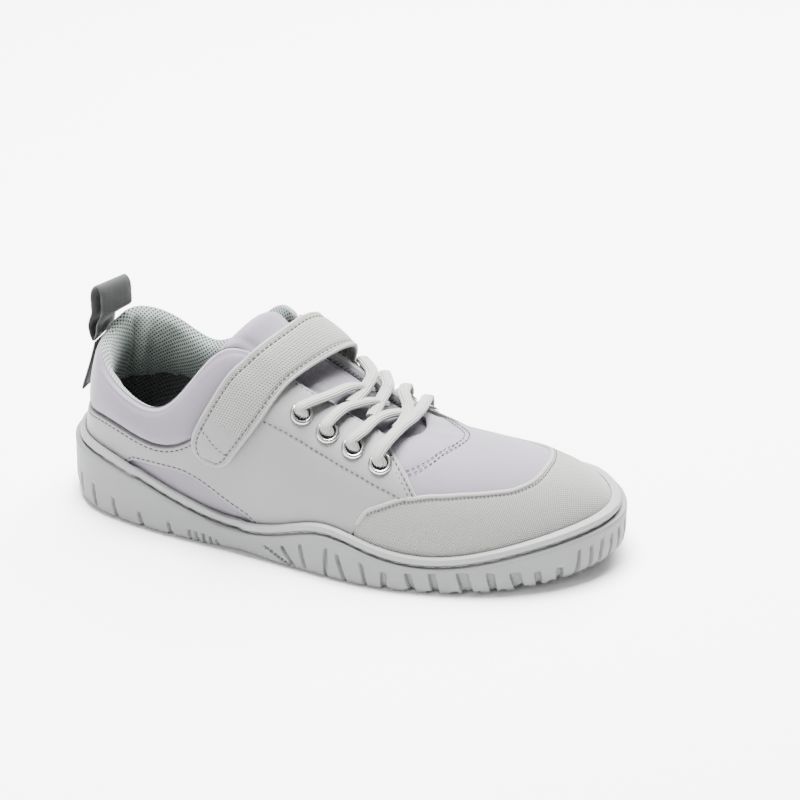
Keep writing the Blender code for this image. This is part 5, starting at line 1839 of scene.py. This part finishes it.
@dataclass
class Tongue:
    """Padded tongue between the eyestays, its foot under the vamp."""

    thickness: float = 5.0
    gap: float = 0.5
    top_gap: float = 2.8
    length_steps: int = 90
    width_steps: int = 64
    head_seam: float = 0.11
    side_seam: float = 0.42
    side_girth: tuple[float, ...] = (0.3, 0.5, 0.8, 1, 1, 1, 1, 0.8, 0.5, 0.3)
    # Outer row, rise of its middle, thickness share
    sections: Table = (
        (5.50, 2.0, 0.25), (5.65, 4.6, 0.70), (6.0, 6.4, 1.00), (6.5, 5.6, 1.00), (7.1, 3.6, 1.00),
        (7.8, 2.4, 0.90), (8.5, 1.9, 0.80), (9.1, 1.4, 0.65),
    )
    flap: tuple[float, ...] = (0.86, 0.93, 1.0)
    foot_edge: Table = ((9.8, 0.87), (9.8, 0.93), (9.85, 1.0), (10.5, 1.0), (12.0, 1.0))
    foot_tuck: Table = ((9.9, 0.84), (10.1, 0.88), (10.4, 0.92), (11.2, 0.935), (12.4, 0.94))

    def section(self, row: float, crown: float) -> Array:
        """One arch across the throat, from flap to flap.

        Args:
            row: Row of the outer side.
            crown: Rise of its middle.

        Returns:
            Points of the arch.
        """
        gap = np.interp(row, [6.6, 7.8], [self.top_gap, self.gap])
        outer = LAST.lining(row, np.array(self.flap), gap)
        inner = LAST.lining(ROWS - row, np.array(self.flap), gap)[::-1]
        left, right = outer[-1], inner[0]
        t = np.array([0.2, 0.4, 0.6, 0.8])[:, None]
        arch = left + (right - left) * t + np.array([0, 0, crown]) * np.sin(np.pi * t) ** 0.7
        return np.concatenate([outer, arch, inner])

    def foot(self, table: Table) -> Array:
        """A line under the vamp round the throat's front.

        Args:
            table: Outer rows and shares of the line.

        Returns:
            Points of the line.
        """
        outer = np.array(table)
        path = np.concatenate([outer, np.column_stack([ROWS - outer[::-1, 0], outer[::-1, 1]])])
        return LAST.lining(path[:, 0], path[:, 1], self.gap)

    def build(self, finish: Material) -> None:
        """Makes the tongue as one padded form with a rolled top edge.

        Args:
            finish: Its material.
        """
        lines = [self.section(row, crown) for row, crown, _ in self.sections]
        lines += [self.foot(self.foot_edge), self.foot(self.foot_tuck)]
        weight = np.array([share for *_, share in self.sections] + [0.45, 0.35])
        thick = self.thickness * (0.2 + 0.8 * weight[:, None] * np.array(self.side_girth)[None])
        grid = smooth_path(np.concatenate([np.array(lines), thick[..., None]], axis=-1), self.length_steps)
        grid = np.swapaxes(smooth_path(np.swapaxes(grid, 0, 1), self.width_steps), 0, 1)
        points, thick = grid[..., :3], np.maximum(grid[..., 3], 0.6)
        along, across = np.gradient(points, axis=0), np.gradient(points, axis=1)
        up = unit(np.cross(along, across))
        if up[self.length_steps // 2, self.width_steps // 2, 2] < 0:
            up = -up
        place = np.linspace(0, 1, self.length_steps)[:, None]
        width = np.linspace(-1, 1, self.width_steps)[None, :]
        pad = -0.7 * ridge(place - self.head_seam, 0.012) * np.clip((1 - np.abs(width)) / 0.2, 0, 1)
        pad = pad - 0.5 * ridge(np.abs(width) - self.side_seam, 0.03) * np.clip((place - 0.13) / 0.05, 0, 1)
        pad = pad + 0.35 * np.cos(width * math.pi * 0.9) * np.clip((place - 0.1) / 0.1, 0, 1)
        top = points + up * (0.25 + pad)[..., None]
        under = points - up * thick[..., None]
        rolled = (top[:1] + under[:1]) / 2 + (points[:1] - points[1:2]) * 0.8
        body = np.concatenate([top, under[:, ::-1]], axis=1)
        head = np.concatenate([rolled, rolled[:, ::-1]], axis=1)
        body = np.concatenate([head, body], axis=0)
        made = Cloth("tongue_pad", body, closed_columns=True, sharp_angle=70.0).build(finish)
        finish_piece(made, "softshell", "tongue")


@dataclass
class Laces:
    """Seven elastic bars, each up through its eyelet and across the throat."""

    width: float = 5.2
    thickness: float = 2.9
    ribs: int = 6
    # From inside an eyelet to over its ring: height over its seat, distance towards the throat
    eyelet_path: Table = ((-4.5, -0.6), (-1.0, -0.5), (2.2, -0.1), (4.1, 2.4))
    # Row, share of the way across the throat, height over the throat's line
    routes: tuple[tuple[str, Table], ...] = (
        ("outer_1", ((7.96, 0.0, 4.6), (8.23, 0.38, 5.0), (8.46, 0.61, 4.2), (8.65, 0.74, 3.2))),
        ("inner_1", ((8.55, 1.0, 5.6), (8.55, 0.63, 4.7), (8.47, 0.30, 3.9), (8.38, 0.12, 3.3))),
        ("outer_2", ((8.30, -0.17, 4.4), (8.50, 0.08, 4.9), (8.80, 0.40, 4.6), (9.15, 0.62, 3.3))),
        ("inner_2", ((9.01, 1.0, 5.6), (9.03, 0.83, 5.2), (9.0, 0.50, 4.3), (8.99, 0.10, 3.9))),
        ("outer_3", ((8.95, -0.38, 4.2), (9.12, 0.01, 4.8), (9.38, 0.31, 4.6), (9.77, 0.59, 3.4))),
        ("inner_3", ((9.55, 1.04, 5.4), (10.0, 0.71, 5.2), (10.08, 0.30, 4.2), (9.92, 0.04, 3.4))),
        ("outer_4", ((9.80, -0.48, 4.4), (10.12, -0.02, 5.2), (10.64, 0.36, 6.0), (10.9, 0.82, 6.0))),
    )

    def over_throat(self, row: float, across: float, height: float) -> Array:
        """A point above the throat."""
        outer, inner = LAST.skin(row, 1.0), LAST.skin(ROWS - row, 1.0)
        return outer + (inner - outer) * across + np.array([0, 0, height])

    def through(self, eyelets: Eyelets, side: str, number: int) -> list[Array]:
        """Points of a bar from inside its eyelet to just over its ring.

        Args:
            eyelets: The eyelets.
            side: Outer or inner.
            number: The eyelet's number.

        Returns:
            The bar's first points.
        """
        point, normal = eyelets.seat(side, number)
        row, share = getattr(eyelets, side)[number - 1]
        inward = unit(LAST.skin(row, share + 0.05) - LAST.skin(row, share))
        return [point + normal * up + inward * ahead for up, ahead in self.eyelet_path]

    def build(self, finish: Material, eyelets: Eyelets) -> None:
        """Makes the seven bars.

        Args:
            finish: Its material.
            eyelets: The eyelets.
        """
        turn = turns(60)
        rib = 1 + 0.12 * np.cos(turn * 2 * self.ribs)
        flat = np.sign(np.cos(turn)) * np.abs(np.cos(turn)) ** 0.85 * self.width / 2
        high = np.sign(np.sin(turn)) * np.abs(np.sin(turn)) ** 0.75 * self.thickness / 2
        for index, (name, way) in enumerate(self.routes):
            side, number = name.split("_")
            points = self.through(eyelets, side, int(number)) + [self.over_throat(*place) for place in way]
            if name == "outer_4":
                points += self.through(eyelets, "inner", 4)[::-1]
            path = even_path(np.array(points), 0.55)
            across, out = cord_frames(path, np.array([0.0, 0.0, 1.0]))
            points = tube(path, across, out, flat * rib, high * rib)
            points = np.concatenate([shut(points[:1], path[:1]), points, shut(points[-1:], path[-1:])])
            made = Cloth(f"lace_{name}", points, closed_columns=True, sharp_angle=80.0).build(finish)
            LOG.info("lace_%s: %.0f mm long", name, lengths(path)[-1])
            finish_piece(made, "lace", *(["laces"] if index == 0 else []))


@dataclass
class Strap:
    """Woven band over the instep with a rolled edge and a smooth tip."""

    thickness: float = 1.7
    bow: float = 1.3
    edge_radius: float = 0.8
    channel_inset: float = 2.6
    channel_depth: float = 0.5
    channel_width: float = 0.6
    steps: int = 180
    # x, y, z of the heel edge and the toe edge as shares of length, ball width and collar height
    table: Table = (
        (0.2940, -0.361, 0.545, 0.3200, -0.376, 0.527),
        (0.2780, -0.358, 0.600, 0.3400, -0.380, 0.562),
        (0.2790, -0.355, 0.695, 0.3530, -0.378, 0.622),
        (0.3090, -0.337, 0.901, 0.3780, -0.362, 0.745),
        (0.3360, -0.298, 1.055, 0.3970, -0.331, 0.845),
        (0.3555, -0.249, 1.118, 0.4130, -0.278, 0.935),
        (0.3740, -0.195, 1.175, 0.4280, -0.215, 1.000),
        (0.4010, -0.050, 1.215, 0.4480, -0.120, 1.035),
        (0.4160, 0.060, 1.222, 0.4720, -0.010, 1.058),
        (0.4270, 0.155, 1.190, 0.4860, 0.090, 1.050),
        (0.4270, 0.230, 1.115, 0.4940, 0.185, 1.010),
        (0.4190, 0.280, 1.015, 0.4900, 0.250, 0.935),
        (0.4080, 0.308, 0.915, 0.4810, 0.296, 0.840),
        (0.4040, 0.331, 0.825, 0.4690, 0.328, 0.755),
        (0.4180, 0.343, 0.765, 0.4530, 0.343, 0.730),
    )
    tip_seam: float = 0.155
    tip_slant: float = 0.05
    border_steps: int = 420

    def build(self, finish: Material, tip: Material, piping: Material, thread: Material) -> None:
        """Makes the band, its rolled edge and its stitches.

        Args:
            finish: Material of the band.
            tip: Material of its tip.
            piping: Material of its edge.
            thread: Thread of the stitches.
        """
        edges = np.array(self.table) * np.tile([LAST.sole_length, LAST.ball_width, LAST.collar_height], 2)
        path = smooth_path(edges, self.steps)
        heel, toe = path[:, None, :3], path[:, None, 3:]
        share = np.concatenate([[0, 0.012, 0.03, 0.055], np.linspace(0.085, 0.915, 34), [0.945, 0.97, 0.988, 1]])
        share = share[None, :, None]
        points = heel + (toe - heel) * share
        along = np.gradient(points, axis=0)
        out = unit(np.cross(along, np.broadcast_to(toe - heel, points.shape)))
        if out[self.steps // 2, 20, 2] < 0:
            out = -out
        points = points + out * (self.bow * 4 * share * (1 - share))
        up, run = lengths(points, 1), lengths(points)
        far = np.minimum(np.minimum(up, up[:, -1:] - up), np.minimum(run, run[-1:] - run))
        rise = rounded(far, self.edge_radius)
        height = (self.thickness - self.channel_depth * ridge(far - self.channel_inset, self.channel_width)) * rise
        seam = run / run[-1:] - self.tip_seam + self.tip_slant * (share[..., 0] - 0.5)
        height = height - self.channel_depth * ridge(seam * run[-1:], 0.7) * rise
        top = points + out * height[..., None]
        under = points + out * (0.05 * rise)[..., None]
        body = np.concatenate([top, under[:, ::-1]], axis=1)
        slots = np.zeros((len(body) - 1, body.shape[1]), int)
        slots[seam[:-1, 0] < 0, :] = 1
        made = Cloth("strap_band", body, closed_columns=True, slots=slots, sharp_angle=60.0).build(finish, tip)
        finish_piece(made, "woven", "strap")
        self.trim(points, out, piping, thread)

    def border(self, grid: Array) -> Array:
        """Closed line round a grid, a little inside its edges."""
        sides = [grid[2:-2, 1], grid[-3, 1:-1], grid[2:-2, -2][::-1], grid[2, 1:-1][::-1], grid[2:3, 1]]
        return np.concatenate(sides)

    def trim(self, points: Array, out: Array, piping: Material, thread: Material) -> None:
        """Rolled edge round the band and the stitches inside it.

        Args:
            points: Grid of the band's middle.
            out: Its outward directions.
            piping: Material of the edge.
            thread: Thread of the stitches.
        """
        away, ring = self.border(out), self.border(points)
        ring = ring + away * (self.thickness * 0.62)
        reach = lengths(ring)
        place = np.arange(self.border_steps) * reach[-1] / self.border_steps
        loop, face = at_lengths(place, reach, ring), at_lengths(place, reach, away)
        for _ in range(3):
            loop = (np.roll(loop, 1, 0) + 2 * loop + np.roll(loop, -1, 0)) / 4
        along = unit(np.roll(loop, -1, 0) - np.roll(loop, 1, 0))
        face = unit(face - along * np.einsum("ij,ij->i", face, along)[:, None])
        side = np.cross(face, along)
        rings = tube(loop, side, face, 0.95 * np.cos(turns(12)), np.sin(turns(12)))
        finish_piece(Cloth("strap_piping", rings, closed_rows=True, closed_columns=True).build(piping), "woven")
        middle = points[:, points.shape[1] // 2]
        inward = unit(np.array([middle[np.linalg.norm(middle - spot, axis=1).argmin()] for spot in loop]) - loop)
        line = loop + inward * 2.0 + face * 0.75
        lines = [(np.concatenate([line, line[:1]]), np.concatenate([face, face[:1]]))]
        across = np.arange(4, points.shape[1] - 4)
        seam = (self.tip_seam + self.tip_slant * (0.5 - across / points.shape[1])) * self.steps - 2
        spot = np.clip(np.round(seam), 2, None).astype(int)
        lines.append((points[spot, across] + out[spot, across] * (self.thickness - 0.1), out[spot, across]))
        finish_piece(Stitching().build("strap_stitches", lines, thread), "woven")


@dataclass
class HeelTape:
    """Tape loop behind the collar and the blank tab under it."""

    loop_width: float = 19.0
    loop_height: float = 28.0
    thickness: float = 1.2
    seat_drop: float = 5.7
    centre_row: float = -0.25
    twist_start: float = 85.0
    twist_rise: float = 9.0
    twist: float = 22.0
    lean: float = 6.0
    tab_drop: float = 7.0
    tab_length: float = 26.0
    tab_standoff: float = 3.0
    # Back from the seat and up from it as shares of the loop's height
    loop: Table = (
        (0.02, 0.00), (0.075, 0.13), (0.11, 0.40), (0.13, 0.65), (0.12, 0.88),
        (0.04, 1.00), (-0.045, 0.90), (-0.06, 0.65), (-0.06, 0.40), (-0.045, 0.13),
    )

    def seat(self, height: float) -> tuple[Array, Array]:
        """A point of the heel's back line at a height and its outward direction in plan.

        Args:
            height: Height over the floor.

        Returns:
            The point and the direction.
        """
        share = LAST.share_at(self.centre_row, height, 0.985)
        out = LAST.normal(self.centre_row, share) * np.array([1.0, 1.0, 0.0])
        return LAST.skin(self.centre_row, share, LAST.clearance), unit(out)

    def across(self, out: Array, turn: float = 0.0) -> Array:
        """Direction of the tape's width, turned towards the toe."""
        angle = math.atan2(out[0], -out[1]) - math.radians(turn)
        return np.array([math.cos(angle), math.sin(angle), 0.0])

    def tape(self, middle: Array, wide: Array, face: Array) -> Array:
        """Sections of a tape with rounded edges, its two faces and both edges.

        Args:
            middle: Points of its middle line.
            wide: Directions of its width.
            face: Directions of its face.

        Returns:
            Points round each section.
        """
        half = self.thickness / 2
        share = np.array([-0.5, -0.485, -0.46, -0.3, -0.15, 0, 0.15, 0.3, 0.46, 0.485, 0.5])
        girth = half * np.array([0.0, 0.65, 1, 0.96, 0.96, 0.96, 0.96, 0.96, 1, 0.65, 0.0])
        front = tube(middle, wide, face, share * self.loop_width, girth)
        back = tube(middle, wide, face, share * self.loop_width, -girth)
        return np.concatenate([front, back[:, ::-1][:, 1:-1]], axis=1)

    def build(self, finish: Material, thread: Material) -> None:
        """Makes the loop and the tab with their stitches.

        Args:
            finish: Material of the tape.
            thread: Thread of the stitches.
        """
        seat, out = self.seat(LAST.collar_height - self.seat_drop)
        seat = seat + out * self.thickness
        ring = smooth_path(np.array(self.loop) * self.loop_height, 96, closed=True)
        middle, wide = [], []
        for back, up in ring:
            turned = min(max((seat[2] + up - self.twist_start) / self.twist_rise, 0.0), 1.0)
            turned = turned * turned * (3 - 2 * turned)
            wide.append(self.across(out, self.twist * turned))
            middle.append(seat + out * (back - self.lean * turned) + np.array([0.0, 0.0, up]))
        middle, wide = np.array(middle), np.array(wide)
        along = unit(np.roll(middle, -1, 0) - np.roll(middle, 1, 0))
        face = unit(np.cross(along, wide))
        points = self.tape(middle, wide, face)
        made = Cloth("heel_loop", points, closed_rows=True, closed_columns=True, sharp_angle=60.0).build(finish)
        finish_piece(made, "tape", "pull_loop")
        middle, faces = [], []
        for step in np.linspace(0, 1, 50):
            place, away = self.seat(LAST.collar_height - self.tab_drop - self.tab_length * step)
            middle.append(place + away * (self.tab_standoff * step**2 + self.thickness / 2))
            faces.append(away)
        middle, away = np.array(middle), np.array(faces)
        wide = np.array([self.across(each) for each in away])
        along = unit(np.gradient(middle, axis=0))
        face = unit(np.cross(along, wide))
        face = face * np.sign(np.einsum("ij,ij->i", face, away))[:, None]
        points = self.tape(middle, wide, face)
        middles = points.mean(axis=1)
        points = np.concatenate([shut(points[:1], middles[:1]), points, shut(points[-1:], middles[-1:])])
        made = Cloth("heel_tab_tape", points, closed_columns=True, sharp_angle=60.0).build(finish)
        finish_piece(made, "tape", "heel_tab")
        share = np.linspace(-0.43, 0.43, 30)[:, None]
        lines = []
        for k in (3, -4):
            line = middle[k] + wide[k] * share * self.loop_width + face[k] * (self.thickness / 2)
            lines.append((line, np.tile(face[k], (30, 1))))
        finish_piece(Stitching(thickness=0.4).build("heel_tab_stitches", lines, thread), "tape")


def shut(ring: Array, middle: Array) -> Array:
    """A ring of the same size drawn together at its middle, to close a tube's end."""
    return np.broadcast_to(middle[:, None], ring.shape)


def finish_piece(made: Piece, slot: str, *nodes: str) -> None:
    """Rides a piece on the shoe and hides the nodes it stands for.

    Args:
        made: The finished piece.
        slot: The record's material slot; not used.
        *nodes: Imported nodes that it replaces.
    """
    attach(made, "root")
    if nodes:
        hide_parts(*nodes)
    LOG.info("%s: %d faces", made.name, len(made.data.polygons))


@dataclass
class Studio:
    """Pale floor, soft light and the camera."""

    azimuth: float = 18.55
    elevation: float = 30.9
    distance: float = 1.3845
    pivot: tuple[float, float, float] = (0.000804, -0.0010547, 0.030)
    lens: float = 133.8
    shift: tuple[float, float] = (0.0709, 0.0861)
    air_strength: float = 0.40
    # Name, place, size and power of each soft light
    lamps: tuple[tuple[str, tuple[float, float, float], float, float], ...] = (
        ("key_light", (-0.15, 0.12, 1.5), 0.7, 150.0),
        ("fill_light", (-0.55, -1.05, 0.75), 0.9, 9.0),
        ("back_light", (0.15, 0.95, 1.15), 1.0, 70.0),
    )

    def build(self, paper: Material) -> None:
        """Makes the floor, the lights and the camera.

        Args:
            paper: Material of the floor.
        """
        reach = np.array([-2500.0, -800.0, -300.0, 300.0, 800.0, 2500.0])
        flat = np.array([[(x + 133.2, y, -0.15) for y in reach] for x in reach])
        floor = Cloth("floor", flat, centre=(133.2, 0.0, -100.0)).build(paper)
        for lamp in self.lamps:
            self.light(*lamp)
        world = bpy.data.worlds.new("studio_air")
        world.use_nodes = True
        air = world.node_tree.nodes["Background"]
        air.inputs["Color"].default_value = (1.0, 1.0, 1.0, 1.0)
        air.inputs["Strength"].default_value = self.air_strength
        bpy.context.scene.world = world
        a, e = math.radians(self.azimuth), math.radians(self.elevation)
        back = Vector((math.sin(a) * math.cos(e), -math.cos(a) * math.cos(e), math.sin(e)))
        lens = bpy.data.cameras.new("studio_camera")
        lens.lens, lens.sensor_width = self.lens, 36.0
        lens.shift_x, lens.shift_y = self.shift
        lens.clip_start, lens.clip_end = 0.05, 20.0
        camera = bpy.data.objects.new("studio_camera", lens)
        camera.location = Vector(self.pivot) + back * self.distance
        camera.rotation_euler = back.to_track_quat("Z", "Y").to_euler()
        bpy.context.scene.collection.objects.link(camera)
        bpy.context.scene.camera = camera

    def light(self, name: str, place: tuple[float, float, float], size: float, power: float) -> None:
        """A square soft light aimed at the shoe.

        Args:
            name: Its name.
            place: Where it stands.
            size: Side of the square.
            power: Its watts.
        """
        lamp = bpy.data.lights.new(name, "AREA")
        lamp.size, lamp.energy = size, power
        made = bpy.data.objects.new(name, lamp)
        made.location = place
        made.rotation_euler = (Vector(place) - Vector((0, 0, 0.03))).to_track_quat("Z", "Y").to_euler()
        bpy.context.scene.collection.objects.link(made)


def main() -> None:
    """Builds and dresses the shoe, then the studio."""
    logging.basicConfig(level=logging.INFO, format="%(name)s: %(message)s")
    softshell, microfibre = Softshell().make(), Microfibre().make()
    woven = Woven().make()
    basket = Woven("strap_basket", (0.205, 0.205, 0.192), 1.3, True).make()
    piping, rubber, braid = Piping().make(), Rubber().make(), Braid().make()
    pale_thread = Thread("rim_thread", (0.20, 0.20, 0.20)).make()
    dark_thread = Thread("grey_thread", (0.035, 0.035, 0.038)).make()
    tape = Tape().make()
    lining = Mesh().make()
    # This dark mesh dresses the footbed and paints the shade on the lining below the collar.
    footbed = Mesh("footbed_and_shaded_lining_mesh", (0.05, 0.053, 0.053), (0.006, 0.006, 0.006), 2.4).make()
    eyelets = Eyelets()
    eyelets.build(Nickel().make())
    upper = Upper()
    upper.build(softshell, lining, footbed, eyelets)
    upper.sewing(dark_thread)
    quarter = Quarter()
    quarter.build(microfibre, eyelets)
    quarter.sewing(dark_thread)
    quarter.edging(piping)
    quarter.collar_sewing(dark_thread)
    cap = ToeCap()
    cap.build(woven, piping)
    cap.sewing(dark_thread)
    # The plain rubber is darkened as painted shade on the wall, and the band rubber is paler as painted light on the
    # rim.
    Sole().build(rubber, Rubber("band_rubber_painted_light", (0.205, 0.208, 0.207)).make(), pale_thread)
    Footbed().build(footbed)
    Tongue().build(softshell)
    Laces().build(braid, eyelets)
    Strap().build(basket, microfibre, piping, dark_thread)
    HeelTape().build(tape, dark_thread)
    Studio().build(Backdrop().make())


if __name__ == "__main__":
    main()
